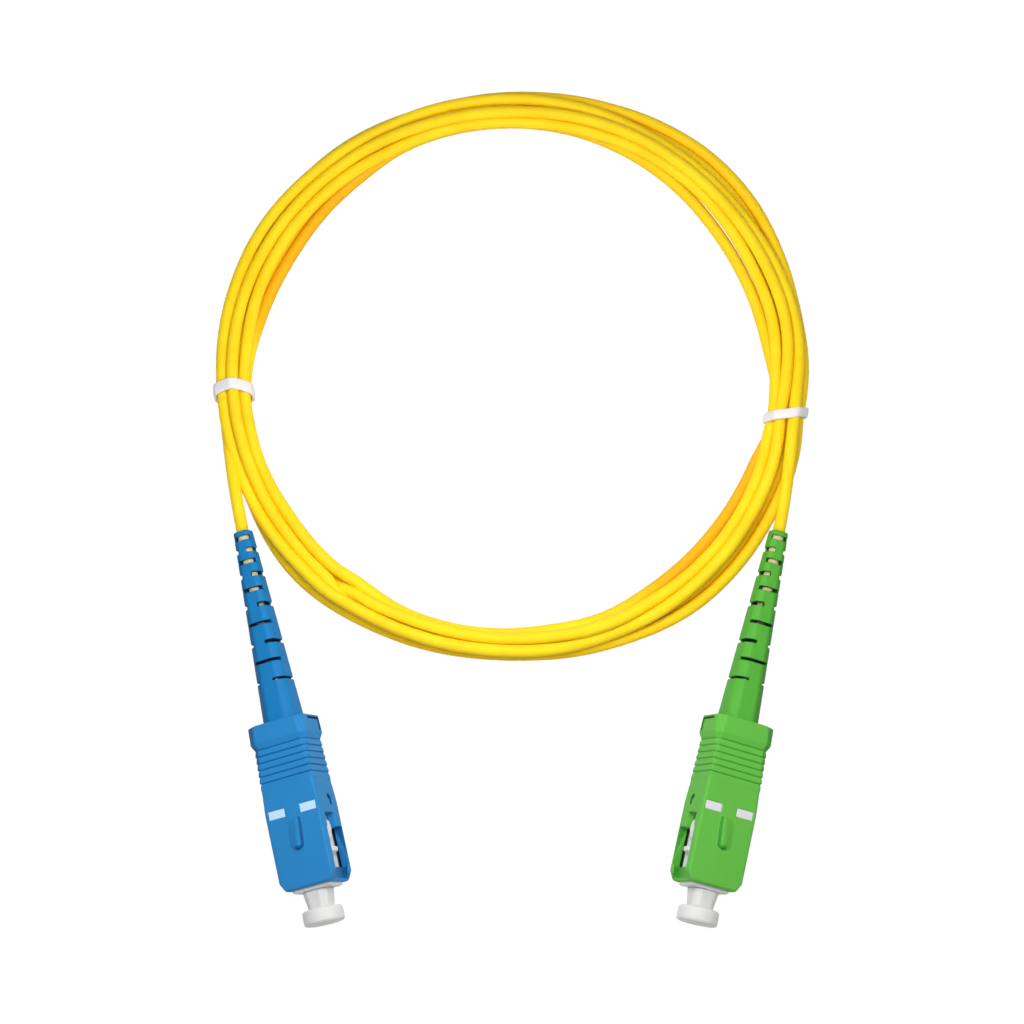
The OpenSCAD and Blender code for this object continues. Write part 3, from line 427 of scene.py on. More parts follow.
def ease(path, per_span):
    """A smooth curve through a path's points: Catmull-Rom spans, per_span points each."""
    p = np.vstack([2 * path[0] - path[1], path, 2 * path[-1] - path[-2]])
    t = np.arange(per_span)[None, :, None] / per_span
    a, b, c, d = (p[i:len(p) - 3 + i, None] for i in range(4))
    spans = 0.5 * (2 * b + (c - a) * t + (2 * a - 5 * b + 4 * c - d) * t ** 2
                   + (3 * b - a - 3 * c + d) * t ** 3)
    return np.vstack([spans.reshape(-1, 3), path[-1:]])


def bend(p0, way0, p1, way1, count):
    """A cubic from p0 to p1 that leaves along way0 and arrives along way1."""
    t = np.linspace(0, 1, count)[:, None]
    reach = np.linalg.norm(p1 - p0)
    return ((2 * t ** 3 - 3 * t ** 2 + 1) * p0 + (t ** 3 - 2 * t ** 2 + t) * reach * way0
            + (3 * t ** 2 - 2 * t ** 3) * p1 + (t ** 3 - t ** 2) * reach * way1)


# A connector's own frame: u runs from the grip's rear end to the tip, a to the side that faces
# the middle, b out of the key face. Connector b mirrors connector a in x.
SPLAY, ROLL = radians(12.75), radians(22.2)
GRIP_W, GRIP_H, GRIP_L = 9.0, 7.4, 27.05
AXIS_Z = GRIP_W / 2 * sin(ROLL) + GRIP_H / 2 * cos(ROLL)
REAR = np.array([-36.65, 0.64, AXIS_Z])
U_WAY = np.array([sin(SPLAY), -cos(SPLAY), 0])
A_WAY = np.array([cos(ROLL) * cos(SPLAY), cos(ROLL) * sin(SPLAY), sin(ROLL)])
B_WAY = np.array([-sin(ROLL) * cos(SPLAY), -sin(ROLL) * sin(SPLAY), cos(ROLL)])
BOOT_L = 32.1
BOOT_TIP = REAR - BOOT_L * U_WAY
MIRROR = {"a": (1, 1, 1), "b": (-1, 1, 1)}
HUE = {"a": "blue", "b": "green"}
# Where the third turn lies under others and gets a painted shade, in degrees past the left
# tie, and how that painted shade fades there
UNDER_TURN, UNDER_SPANS, UNDER_FADES = 2, ((8, 72), (194, 252)), (12, 14)
TAIL_POINTS = {"a": 18, "b": 16}


def cord_path():
    """The cord's middle line, from boot tip a through the coil to boot tip b, and how far each
    point of it lies under other turns, where painted shade makes it a deeper yellow."""
    angle, places = settle()
    at = np.radians(TIE_LEFT - angle)
    out = COIL_R + places[:, 0]
    coil = np.stack([out * np.cos(at), COIL_Y + out * np.sin(at), places[:, 1]], axis=1)
    keep = angle <= 360 * LOOPS + SWEEP
    coil = ease(coil[keep], 2)
    start_way, end_way = unit(coil[1] - coil[0]), unit(coil[-1] - coil[-2])
    tail_a = bend(BOOT_TIP, -U_WAY, coil[0], start_way, TAIL_POINTS["a"])[:-1]
    tail_b = bend(coil[-1], end_way, BOOT_TIP * MIRROR["b"], U_WAY * MIRROR["b"],
                  TAIL_POINTS["b"])[1:]
    turn, past = angle[keep] // 360, angle[keep] % 360
    inner = sum(smooth_step((past - first) / UNDER_FADES[0])
                * smooth_step((last - past) / UNDER_FADES[1])
                for first, last in UNDER_SPANS) * (turn == UNDER_TURN)
    inner = np.interp(np.arange(len(coil)) / 2, np.arange(len(inner)), inner)
    under = np.concatenate([np.zeros(len(tail_a)), inner, np.zeros(len(tail_b))])
    return np.vstack([tail_a, coil, tail_b]), under


path, painted_under_shade = cord_path()
walked = np.concatenate([[0], np.cumsum(np.linalg.norm(np.diff(path, axis=0), axis=1))])
cord = make_piece("cord", *tube(path, CORD_D / 2, JACKET_SIDES), jacket_material("jacket_pvc"),
                  "cord", "cord_jacket")
half_round = JACKET_SIDES // 2
round_place = abs(np.arange(JACKET_SIDES) - half_round) / half_round
# The under share carries the painted shade to the jacket's material
for name, values in (("along", np.repeat(walked, JACKET_SIDES)),
                     ("under", np.repeat(painted_under_shade, JACKET_SIDES)),
                     ("around", np.tile(round_place, len(path)))):
    kept = cord.data.attributes.new(name, "FLOAT", "POINT")
    kept.data.foreach_set("value", values.astype(np.float32))
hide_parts("cord_coil", "cord_tail_a", "cord_tail_b")


# ---- Ties: two white bands pulled tight round the bundle ----
# Soft plastic-covered wire, flat outside and rounded at its edges. Each is a closed band that
# follows the bundle's six-sided outline.
def white_plastic(name, tone, rough=0.42, glow=0.15):
    """Soft white plastic with faint cloudy tones and a fine moulded grain."""
    g = Graph(name)
    at = g.place()
    clouds, grain = g.noise(at, 2.5, 3.0), g.noise(at, 0.15, 2.0)
    colour = g.mix(tone_times(tone, 0.94), tone, clouds * 1.3)
    return g.surface(Base_Color=colour, Roughness=rough + grain * 0.15,
                     Specular_IOR_Level=0.4, Subsurface_Weight=glow,
                     Subsurface_Radius=(0.8, 0.75, 0.7), Subsurface_Scale=0.001,
                     Normal=g.bump(grain, 0.008))


def bundle_outline(side, clear, count):
    """The bundle's outline across a tie, a distance clear outside its turns: the far points of
    seven circles, whose hull is a hexagon with round corners."""
    t = full_turn(count)
    ways = np.stack([np.cos(t), np.sin(t)], axis=1)
    reach = (SLOTS[side] @ ways.T).max(0) + CORD_D / 2 + clear
    slope = np.gradient(np.concatenate([reach[-2:], reach, reach[:2]]), t[1])[2:-2]
    return reach[:, None] * ways + slope[:, None] * np.stack([-np.sin(t), np.cos(t)], axis=1)


TIE_THICK, TIE_CLEAR = 0.60, 0.02
BAND_ROWS, BAND_COLUMNS = 96, 16        # points round the bundle, and round the strip
BOW_REACH = 3.6                         # from the bundle's middle to where the bow ends
SQUARE_ACROSS, SQUARE_SIDEWAYS = 0.5, 0.7   # powers that fill out the strip's corners


def tie_band(name, side, angle, width, bow, slant):
    """A band of a tie: the outline swept as a rounded strip. Over the top it is bowed along
    the cord by bow mm, and all of it slants by slant mm for each mm outwards."""
    outline = bundle_outline(side, TIE_THICK / 2 + TIE_CLEAR, BAND_ROWS)
    corner = -full_turn(BAND_COLUMNS)
    c, s = np.cos(corner), np.sin(corner)
    across = np.sign(c) * abs(c) ** SQUARE_ACROSS * TIE_THICK / 2
    sideways = np.sign(s) * abs(s) ** SQUARE_SIDEWAYS * width / 2
    middle = np.array([TIE_R[side] * cos(angle), COIL_Y + TIE_R[side] * sin(angle), TIE_Z])
    out_way = np.array([cos(angle), sin(angle), 0])
    way = np.array([sin(angle), -cos(angle), 0])
    normal = unit(outline)
    rows = []
    for (x, z), (nx, nz) in zip(outline, normal):
        shift = bow * (1 - (x / BOW_REACH) ** 2) * (z > 0) + slant * x
        rows += [middle + out_way * (x + nx * da) + np.array([0, 0, z + nz * da])
                 + way * (shift + ds) for da, ds in zip(across, sideways)]
    faces = [tuple(i % len(rows) for i in face)
             for face in grid_faces(BAND_ROWS + 1, BAND_COLUMNS)]
    return make_piece(name, rows, faces, tie_white, "cord", "tie_white")


tie_white = white_plastic("tie_soft_white", (0.79, 0.78, 0.775), rough=0.38)
for side, angle, width, bow, slant in (("left", TIE_LEFT + 0.2, 1.95, 0.95, 0.06),
                                       ("right", TIE_RIGHT, 1.7, 0.5, -0.32)):
    band = tie_band(f"tie_{side}_band", side, radians(angle), width, bow, slant)
    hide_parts("tie_" + side)


# ---- Grips: the outer push-pull sleeves, blue on side a and green on side b ----
# Moulded ABS with a shouldered rear, six grip ribs, a key ridge, and a latch window in each
# side. Both come from one mould: a lofted body less its openings, with softly rounded edges.
def solid(points, faces):
    """A helper mesh object in a connector's own frame, in millimetres."""
    mesh = bpy.data.meshes.new("helper")
    mesh.from_pydata([tuple(map(float, p)) for p in points], [], faces)
    made = bpy.data.objects.new("helper", mesh)
    scene.collection.objects.link(made)
    return made


def convex(points):
    """The convex solid round some points."""
    work = bmesh.new()
    for p in points:
        work.verts.new(p)
    skin = bmesh.ops.convex_hull(work, input=work.verts)
    inner = dict.fromkeys(v for v in skin["geom_interior"] + skin["geom_unused"]
                          if isinstance(v, bmesh.types.BMVert))
    bmesh.ops.delete(work, geom=list(inner), context="VERTS")
    made = solid([], [])
    work.to_mesh(made.data)
    work.free()
    return made


def box(u0, u1, a0, a1, b0, b1):
    """A block, from one corner to the other."""
    return convex([(u, a, b) for u in (u0, u1) for a in (a0, a1) for b in (b0, b1)])


def rod(radius, u0, u1, sides=48):
    """A round rod on the connector's axis."""
    return convex([(u, radius * cos(t), radius * sin(t))
                   for u in (u0, u1) for t in full_turn(sides)])


def loft(rings):
    """A closed solid through rings of equally many points."""
    made = solid([p for ring in rings for p in ring], capped_faces(len(rings), len(rings[0])))
    work = bmesh.new()
    work.from_mesh(made.data)
    bmesh.ops.recalc_face_normals(work, faces=work.faces)
    work.to_mesh(made.data)
    work.free()
    return made


def moulded(body, steps, cell, rounds):
    """A body with solids cut out of it or added to it in turn, remade in even faces cell mm
    wide and smoothed, which rounds its edges. Gives points in mm, and faces."""
    for operation, tool in steps:
        change = body.modifiers.new("change", "BOOLEAN")
        change.operation, change.solver, change.object = operation, "EXACT", tool
    remake = body.modifiers.new("remake", "REMESH")
    remake.mode, remake.voxel_size = "VOXEL", cell
    soften = body.modifiers.new("soften", "SMOOTH")
    soften.factor, soften.iterations = 0.5, rounds
    bpy.context.view_layer.update()
    made = body.evaluated_get(bpy.context.evaluated_depsgraph_get()).to_mesh()
    points = np.empty(len(made.vertices) * 3)
    made.vertices.foreach_get("co", points)
    faces = [tuple(face.vertices) for face in made.polygons]
    body.to_mesh_clear()
    for helper in [body] + [tool for _, tool in steps]:
        bpy.data.objects.remove(helper)
    return points.reshape(-1, 3), faces


def fit(name, points, faces, side, material, body, slot, *nodes):
    """Puts a shape from the connectors' own frame on side a or b. Its own place (u, a, b) in
    mm is kept as an attribute for its material."""
    points = np.asarray(points, float)
    placed = REAR + points[:, :1] * U_WAY + points[:, 1:2] * A_WAY + points[:, 2:] * B_WAY
    placed = placed * MIRROR[side]
    if side == "b":
        faces = [face[::-1] for face in faces]
    piece = make_piece(name, placed, faces, material, body, slot)
    own = piece.data.attributes.new("own_place", "FLOAT_VECTOR", "POINT")
    own.data.foreach_set("vector", points.astype(np.float32).ravel())
    if nodes:
        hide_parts(*nodes)
    return piece


A0, B0 = 4.85, GRIP_H / 2
CHAMFER, CHAMFER_FADE, CHAMFER_LEAST = 1.2, 0.095, 0.30
SHOULDER_L, SHOULDER_OUT, BAND_DEPTH, BAND_FRONT_RAMP = 2.9, 0.22, 0.17, 3.3
CELL = 0.135                        # the moulding's grid; ribs on it come out alike
RIBS, RIB_PITCH, RIB_STEP, BAND_U0 = 6, 8 * CELL, 0.30, 29 * CELL
NOSE_L, NOSE_W = 1.5, 0.95
WINDOW_U0, WINDOW_STEP_U, WINDOW_U1 = 16.1, 18.4, 24.8
WINDOW_TOP, WINDOW_LOW = 2.2, -3.3
CAVITY_A, CAVITY_B = 3.45, 2.8
OUTSIDE = 6                         # beyond every face: where a cut begins or ends
GROOVE_DEEP = 0.36                  # of the L on the shoulder and of the crescent
CRESCENT_U, CRESCENT_B = 14.1, -0.5
FOOT_B = -3.4                       # the underside of the wedge at the window's front


def grip_rings():
    """Eight-sided rings: half widths a and b, less a long-edge chamfer that fades forwards."""
    depth = [(0, 0.15 - SHOULDER_OUT), (0.15, -SHOULDER_OUT), (SHOULDER_L, -SHOULDER_OUT),
             (BAND_U0 - 0.12, BAND_DEPTH)]
    for i in range(RIBS):
        u = BAND_U0 + i * RIB_PITCH
        depth += [(u - 0.10, BAND_DEPTH), (u - 0.08, BAND_DEPTH + RIB_STEP),
                  (u + 0.08, BAND_DEPTH + RIB_STEP), (u + 0.20, BAND_DEPTH + 0.12),
                  (u + RIB_PITCH - 0.14, BAND_DEPTH - 0.06)]
    end = BAND_U0 + RIBS * RIB_PITCH
    depth += [(end - 0.1, BAND_DEPTH), (end + 0.6, BAND_DEPTH), (end + 0.6 + BAND_FRONT_RAMP, 0),
              (GRIP_L - NOSE_L, 0), (GRIP_L - 0.3, 0), (GRIP_L, 0.3)]
    rings = []
    for u, d in depth:
        smooth_d = min(d, BAND_DEPTH)
        nose = max(0, (u - GRIP_L + NOSE_L) / NOSE_L) * NOSE_W
        a = A0 - (d if u < GRIP_L - 1 else 0) - nose
        b = B0 - d
        chamfer = max(CHAMFER_LEAST, CHAMFER - CHAMFER_FADE * u)
        s = min(A0 + B0 - 2 * smooth_d - chamfer, a + b - 0.1)
        outer = b - s + 0.4 * max(0, 1 - u / 10)
        half = [(a, s - a), (s - b, b), (outer, b), (-a, s - a)]
        ring = half + [(-a, a - s), (b - s, -b), (s - b, -b), (a, a - s)]
        rings.append([(u, p, q) for p, q in ring])
    return rings


def grip_steps():
    """Everything cut out of the grip's body or added to it, in order."""
    # The key ridge, from its sloping rear end to its round front
    front = 19.9
    turn = full_turn(24)
    key = [(15.9, a, 3.4) for a in (-1.7, 1.60)] + [(16.2, a, 4.15) for a in (0.35, 0.75)]
    key += [(front - 0.1 + 1.3 * cos(t), -0.45 + 1.70 * sin(t), 3.4) for t in turn]
    key += [(front + 0.2 + 0.8 * cos(t), 0.22 + 0.32 * sin(t), 4.30) for t in turn]
    steps = [("UNION", convex(key)),
             ("DIFFERENCE", box(-1, GRIP_L + 1, -CAVITY_A, CAVITY_A, -CAVITY_B, CAVITY_B))]
    for s in (-1, 1):
        # The side window: a narrow rear part, a tall front part, and a lip before it
        inner, outer = s * 2.95, s * OUTSIDE
        steps.append(("DIFFERENCE", box(WINDOW_U0, WINDOW_STEP_U + 0.1, inner, outer,
                                        -1.30, 1.95)))
        steps.append(("DIFFERENCE", box(WINDOW_STEP_U, WINDOW_U1, inner, outer,
                                        WINDOW_LOW, WINDOW_TOP)))
        lip = [(WINDOW_U1 - 0.1, s * 4.0), (GRIP_L + 1, s * 3.78), (WINDOW_U1 - 0.1, outer),
               (GRIP_L + 1, outer)]
        steps.append(("DIFFERENCE", convex([(u, a, b) for u, a in lip
                                            for b in (WINDOW_LOW, WINDOW_TOP)])))
        # The sill under the window, and the wedge at its front end
        sill = [(18.7, 3.46), (23.6, A0 - 0.04), (25.3, A0 - 0.04), (26.8, A0 - 1), (26.8, 3.46)]
        steps.append(("UNION", convex([(u, s * a, b) for u, a in sill for b in (-3.5, -3.04)])))
        wedge = [(24.4, A0 - 0.6, FOOT_B), (25.2, A0 - 0.02, FOOT_B), (26.1, A0 - 0.38, FOOT_B),
                 (26.9, A0 - 0.9, FOOT_B), (23.6, A0 - 0.06, -3.1), (25.2, A0 - 0.06, -2.8),
                 (26.1, A0 - 0.42, -2.5), (26.9, A0 - 0.94, -2.4)]
        steps.append(("UNION", convex([(u, s * a, b) for u, a, b in wedge])))
        # The L-shaped groove on the shoulder, the crescent, and the recess of a mark
        deep = s * (A0 + SHOULDER_OUT - GROOVE_DEEP)
        steps.append(("DIFFERENCE", box(0.40, 0.68, deep, outer, -2.5, 1.5)))
        steps.append(("DIFFERENCE", box(0.40, 2.57, deep, outer, -2.72, -2.14)))
        for k in range(6):
            arc = [(radians(-20 + 28 * (k + j)), r) for j in (0, 1.05) for r in (0.36, 1.0)]
            ends = (s * (A0 - GROOVE_DEEP), outer)
            steps.append(("DIFFERENCE", convex([(CRESCENT_U - r * cos(t), a, CRESCENT_B - r * sin(t))
                                                for t, r in arc for a in ends])))
        marks = (1.48, 4.30) if s > 0 else (-4.12, -1.24)
        steps.append(("DIFFERENCE", box(14.03, 15.44, *marks, 3.36, 5)))
    return steps


def grip_material(name, tone, shade):
    """Moulded ABS: fine spark-eroded grain and faint cloudy flow marks, with painted shade:
    nearly black inside, darker in its grooves, recesses, window ledges and chamfers, and a
    painted shadow on the key's sloping side. Each mask is 1 where it holds, by the own
    place (u, a, b)."""
    g = Graph(name)
    own = g.attribute("own_place", "Vector")
    u, a, b = g.parts(own)
    side, height = a.absolute(), b.absolute()
    outer = 1 - a.above(0.0)
    window = u.between(WINDOW_U0 - 0.1, WINDOW_U1 + 0.1)
    # Painted shade inside the cavity and behind the windows
    inside = (1 - side.above(CAVITY_A + 0.03)) * (1 - height.above(CAVITY_B + 0.08 + window * 0.45))
    # Painted shade in the grooves between the ribs, where they run over a flat face
    on_flat = ((A0 + B0 - CHAMFER - 0.1 + u * CHAMFER_FADE) - (side + height)).above(0.0)
    rib_place = ((u - BAND_U0) / RIB_PITCH + 0.5).math("FRACT")
    groove_shade = (1 - (rib_place - 0.5).absolute().above(0.07)) * on_flat * u.between(3.7, 10.2)
    # Painted shade on the floors of the shoulder's L and of the crescent
    bar = b.between(-2.80, -2.04) * (1 - u.above(2.67))
    bar = bar.most(b.between(-2.80, 1.6) * (1 - u.above(0.76)))
    cut = bar * u.above(0.32) * (1 - side.above(A0 + SHOULDER_OUT - 0.07))
    cut = cut.most(u.between(13.0, 15.3) * (1 - side.above(A0 - 0.08)) * b.between(-1.8, 0.2))
    sunk_shade = cut * side.above(4.3) * (1 - height.above(3.0))
    # Painted shade on the window's low ledge, its sill, and the sloping face in front of it
    front = u.between(24.7, 26.6) * side.between(3.5, A0 - 0.35)
    ledge_shade = side.between(3.5, A0 - 0.06) * window
    ledge_shade = ledge_shade * (b.between(-3.42, -3.17) + b.between(-3.17, -2.94) * 0.5
                     + b.between(-0.45, -0.2))
    ledge_shade = ledge_shade.most(front * (1 - height.above(3.0)) * ((3.0 - b) * 0.2))
    # A painted shadow on the key's sloping side and round front
    flank_shadow = b.above(3.74) * u.between(15.95, 21.1)
    flank_shadow = flank_shadow * clipped((a - 0.78 + (u - 16) * 0.06) * 5) * clipped((1.75 - a) * 2.5)
    nose = b.above(3.76) * u.between(20.45, 21.5) * a.above(-0.60)
    # Painted shade along the chamfers of the key face's edges, from the shoulder to the front,
    # deeper on the outer side
    shoulder_to_band, band_to_front = clipped((u - 2.9) * 1.1), clipped((u - 11) * 0.3)
    corner = (side + height) - (A0 + B0 - CHAMFER + 0.40) - u * CHAMFER_FADE
    corner = corner + shoulder_to_band * 0.78 - band_to_front * 0.34
    corner = corner + outer * clipped(1 - u * 0.1) * 0.36
    chamfer_shade = clipped(corner * 12) * b.above(0.0) * (1 - u.above(GRIP_L - 1.7))
    chamfer_shade = chamfer_shade * (0.22 + outer * 0.5)
    clouds, grain = g.noise(own, 4.0, 3.0, (2.2, 1, 1)), g.noise(own, 0.16, 2.0)
    colour = g.mix(tone_times(tone, 0.92), tone_times(tone, 1.05), clouds)
    colour = g.mix(colour, shade, chamfer_shade)
    colour = g.mix(colour, shade, clipped(flank_shadow.most(nose * 0.8) + groove_shade * 0.95 + ledge_shade * 0.9))
    colour = g.mix(colour, tone_times(shade, 0.5), sunk_shade)
    # Painted shade: the grip's inside is made nearly black
    colour = g.mix(colour, tone_times(shade, 0.04), inside)
    return g.surface(Base_Color=colour, Roughness=0.45 + grain * 0.18, Specular_IOR_Level=0.16,
                     Normal=g.bump(grain, 0.010))


grip_shape = moulded(loft(grip_rings()), grip_steps(), CELL, 2)
# Each grip's own tone, and the darker tone used for its painted shade
grip_tone_and_shade = {
    "a": grip_material("grip_blue_abs", (0.020, 0.226, 0.535), (0.000, 0.085, 0.270)),
    "b": grip_material("grip_green_abs", (0.122, 0.472, 0.058), (0.036, 0.270, 0.020)),
}
for side, hue in HUE.items():
    fit("grip_sleeve_" + side, *grip_shape, side, grip_tone_and_shade[side], "grip_" + side,
        "grip_" + hue, "grip_" + side)


# ---- Marks: two white inlays in each grip's key face ----
# Small white plastic blocks pressed into their recesses, a hair below flush, with rounded rims.
def bevelled_block(u0, u1, a0, a1, b0, b1, edge):
    """A block whose upper rim is rounded off in two small steps."""
    rings = []
    for drop, pull in ((b0, 0), (b1 - edge, 0), (b1 - 0.3 * edge, 0.3 * edge), (b1, edge)):
        rings.append([(u0 + pull, a0 + pull, drop), (u1 - pull, a0 + pull, drop),
                      (u1 - pull, a1 - pull, drop), (u0 + pull, a1 - pull, drop)])
    return [p for ring in rings for p in ring], capped_faces(4, 4)


mark_finish = {"a": white_plastic("mark_pale_blue_white", (0.52, 0.77, 0.97), glow=0.05),
               "b": white_plastic("mark_off_white", (0.74, 0.72, 0.74), glow=0.05)}
for side in "ab":
    points, faces = [], []
    for a0, a1 in ((-4.10, -1.26), (1.50, 4.28)):
        block_points, block_faces = bevelled_block(14.05, 15.42, a0, a1, 3.4, 3.69, 0.06)
        faces += [tuple(i + len(points) for i in face) for face in block_faces]
        points += block_points
    piece = fit("marks_" + side, points, faces, side, mark_finish[side], "grip_" + side,
                "mark_white", "grip_marks_" + side)
    piece.data.polygons.foreach_set("use_smooth", [False] * len(piece.data.polygons))


# ---- Plug frames: the white square plug inside each grip ----
# Moulded PBT, with a bore for the ferrule's flange, a web that stops it, and a latch boss and a
# rail on each side behind the grip's window.
def ring_of(u, half_a, half_b, chamfer):
    a, b, c = half_a, half_b, chamfer
    return [(u, *p) for p in ((a, b - c), (a - c, b), (c - a, b), (-a, b - c),
                              (-a, c - b), (c - a, -b), (a - c, -b), (a, c - b))]


FRAME_A, FRAME_B, FRAME_U0, FRAME_U1 = 3.35, 2.7, 4.4, 27.6
WEB_U0, WEB_U1 = 21.0, 22.2
frame_steps = [("DIFFERENCE", rod(2.1, FRAME_U0 - 1, WEB_U0)),
               ("DIFFERENCE", rod(1.45, WEB_U0 - 1, FRAME_U1 + 1)),
               ("DIFFERENCE", rod(2.1, WEB_U1, FRAME_U1 + 1))]
for s in (-1, 1):
    boss = [(21.5, s * 3.2), (21.5, s * 4.43), (22.2, s * 4.43), (22.9, s * 3.4), (22.9, s * 3.2)]
    frame_steps.append(("UNION", convex([(u, a, b) for u, a in boss for b in (-1, 1)])))
    rail = [(16.4, s * 3.2), (17.4, s * 4.1), (18.6, s * 4.22), (20.0, s * 3.9), (20.9, s * 3.2)]
    frame_steps.append(("UNION", convex([(u, a, b) for u, a in rail for b in (-0.7, 1.6)])))
frame_body = loft([ring_of(FRAME_U0, FRAME_A - 0.1, FRAME_B - 0.1, 0.3),
                   ring_of(FRAME_U0 + 0.1, FRAME_A, FRAME_B, 0.3),
                   ring_of(FRAME_U1 - 0.25, FRAME_A, FRAME_B, 0.3),
                   ring_of(FRAME_U1, FRAME_A - 0.25, FRAME_B - 0.25, 0.3)])
frame_shape = moulded(frame_body, frame_steps, 0.13, 2)
frame_white = white_plastic("frame_white_pbt", (0.76, 0.76, 0.77), rough=0.38, glow=0.1)
for side in "ab":
    fit("plug_body_" + side, *frame_shape, side, frame_white, "cord", "frame_white",
        "plug_frame_" + side)


# ---- Dust caps: milky plugs pushed over the ferrules ----
# Soft low-density polyethylene, slightly see-through, with a flat-sided stem and a round
# head. One lofted shape, bored for the ferrule.
def squared_ring(u, radius, flat_a, flat_b, crisp=40, sides=72):
    """A ring of a circle whose sides are cut off at half widths a and b, with corners that are
    rounder the lower crisp is: |y/a|^crisp + |z/b|^crisp = 1."""
    ring = []
    for t in full_turn(sides):
        r = (abs(cos(t) / flat_a) ** crisp + abs(sin(t) / flat_b) ** crisp) ** (-1 / crisp)
        r = min(radius, r)
        ring.append((u, r * cos(t), r * sin(t)))
    return ring


CAP_RINGS = [  # u, radius, half widths across the flats
    (24.5, 1.8, 9, 9), (24.75, 2.0, 9, 9), (27.65, 2.0, 9, 9), (27.66, 2.55, 2.2, 2.3),
    (30.3, 2.15, 1.85, 1.95), (30.54, 2.2, 2.0, 2.1), (30.56, 2.95, 9, 9), (30.62, 3.12, 9, 9),
    (30.9, 3.3, 9, 9), (32.65, 3.3, 9, 9), (32.9, 3.14, 9, 9), (33.0, 2.92, 9, 9)]
cap_shape = moulded(loft([squared_ring(*row) for row in CAP_RINGS]),
                    [("DIFFERENCE", rod(1.29, 23, 29.3))], 0.12, 3)


def cap_material():
    """Milky polyethylene: lets some light through, with faint flow streaks along it."""
    g = Graph("cap_milky_ldpe")
    own = g.attribute("own_place", "Vector")
    streaks, grain = g.noise(own, 1.1, 3.0, (3, 1, 1)), g.noise(own, 0.2, 2.0)
    return g.surface(Base_Color=g.mix((0.70, 0.69, 0.68), (0.77, 0.76, 0.755), streaks),
                     Roughness=0.40 + grain * 0.15, Specular_IOR_Level=0.4,
                     Subsurface_Weight=0.60, Subsurface_Radius=(1.0, 0.96, 0.92),
                     Subsurface_Scale=0.0025, Normal=g.bump(streaks * 0.7 + grain * 0.3, 0.012))


cap_milky = cap_material()
for side in "ab":
    fit("cap_plug_" + side, *cap_shape, side, cap_milky, "cap_" + side, "cap_white",
        "dust_cap_" + side)


# ---- Boots: the tapered strain reliefs behind the grips ----
# Soft moulded elastomer, square with rounded corners, bored for the cord. Slots let it bend:
# each of the mould's two halves leaves them on two faces, in turn, up to its parting line.
BOOT_SLOTS = [  # middle and width along the boot
    (-30.87, 0.70), (-28.73, 0.75), (-26.83, 0.70), (-24.58, 0.75), (-22.07, 0.66),
    (-19.37, 0.66), (-16.28, 0.50), (-13.02, 0.60), (-9.93, 0.48), (-6.71, 0.38)]
# At the tip, and how much more at the root: half width across the flats, then to the corners
BOOT_HALF, BOOT_WIDENS = 1.37, 1.61
CORNER, CORNER_WIDENS, CORNER_MOST = 1.60, 1.98, 3.35
BOOT_SHIFT = 0.24


def boot_half(u):
    """Half width across the flats."""
    return BOOT_HALF + BOOT_WIDENS * (u + BOOT_L) / BOOT_L


def boot_shift(u):
    """How far the outside stands off the bore's middle, towards +a."""
    return BOOT_SHIFT * (u + BOOT_L) / BOOT_L


boot_rings = []
for u, inset in ((-BOOT_L, 0.12), (-BOOT_L + 0.12, 0), (0, 0), (0.05, 0.12), (1.2, 0)):
    flat = (boot_half(u) if u < 1 else 2.65) - inset
    corner = min(CORNER + CORNER_WIDENS * (u + BOOT_L) / BOOT_L, CORNER_MOST) - inset
    shift = boot_shift(u) if u < 0.1 else 0
    boot_rings.append([(v, a + shift, b) for v, a, b in squared_ring(u, corner, flat, flat, 6)])
boot_steps = [("DIFFERENCE", rod(1.08, -BOOT_L - 1, 3)), ("DIFFERENCE", rod(1.4, -8.9, 3)),
              ("DIFFERENCE", rod(2.0, -5.6, 3))]
for i, (u, high) in enumerate(BOOT_SLOTS):
    h = boot_half(u)
    floor_at = 0.3 * h
    near, far = (0.3 * h, 0.0) if i % 2 == 0 else (0.2 * h, 0.35 * h)
    front = [(OUTSIDE, floor_at), (-floor_at - near, floor_at), (-OUTSIDE - near, OUTSIDE),
             (OUTSIDE, OUTSIDE)]
    back = [(-OUTSIDE, -floor_at), (floor_at + far, -floor_at), (OUTSIDE + far, -OUTSIDE),
            (-OUTSIDE, -OUTSIDE)]
    for outline in (front, back):
        if i % 2:
            outline = [(b, a) for a, b in outline]
        boot_steps.append(("DIFFERENCE", convex([(v, a, b) for v in (u - high / 2, u + high / 2)
                                                 for a, b in outline])))
boot_shape = moulded(loft(boot_rings), boot_steps, 0.12, 3)


def boot_material(name, tone):
    """Satin elastomer: soft sheen, fine grain, faint streaks along the pull, and painted shade,
    dark down in its slots and in a strip along its outer edge."""
    g = Graph(name)
    own = g.attribute("own_place", "Vector")
    u, a, b = g.parts(own)
    half = boot_half(u)
    a = a - boot_shift(u)
    side, height = a.absolute(), b.absolute()
    outer = clipped((-0.30 - a / half) * 4) * clipped(b * 2) * 0.5
    out = side.most(height).most((side + height) * 0.62) / half
    deep = 1 - (out - 0.80) * 7
    streaks, grain = g.noise(own, 1.5, 3.0, (5, 1, 1)), g.noise(own, 0.14, 2.0)
    colour = g.mix(tone_times(tone, 0.90), tone_times(tone, 1.05), streaks)
    # Painted shade in a strip along the outer edge
    colour = g.mix(colour, tone_times(tone, 0.35), outer)
    # Painted shade, darkest deep down in the slots
    colour = g.mix(colour, tone_times(tone, 0.12), deep)
    return g.surface(Base_Color=colour, Roughness=0.46 + grain * 0.16, Specular_IOR_Level=0.14,
                     Normal=g.bump(streaks * 0.3 + grain * 0.7, 0.010))


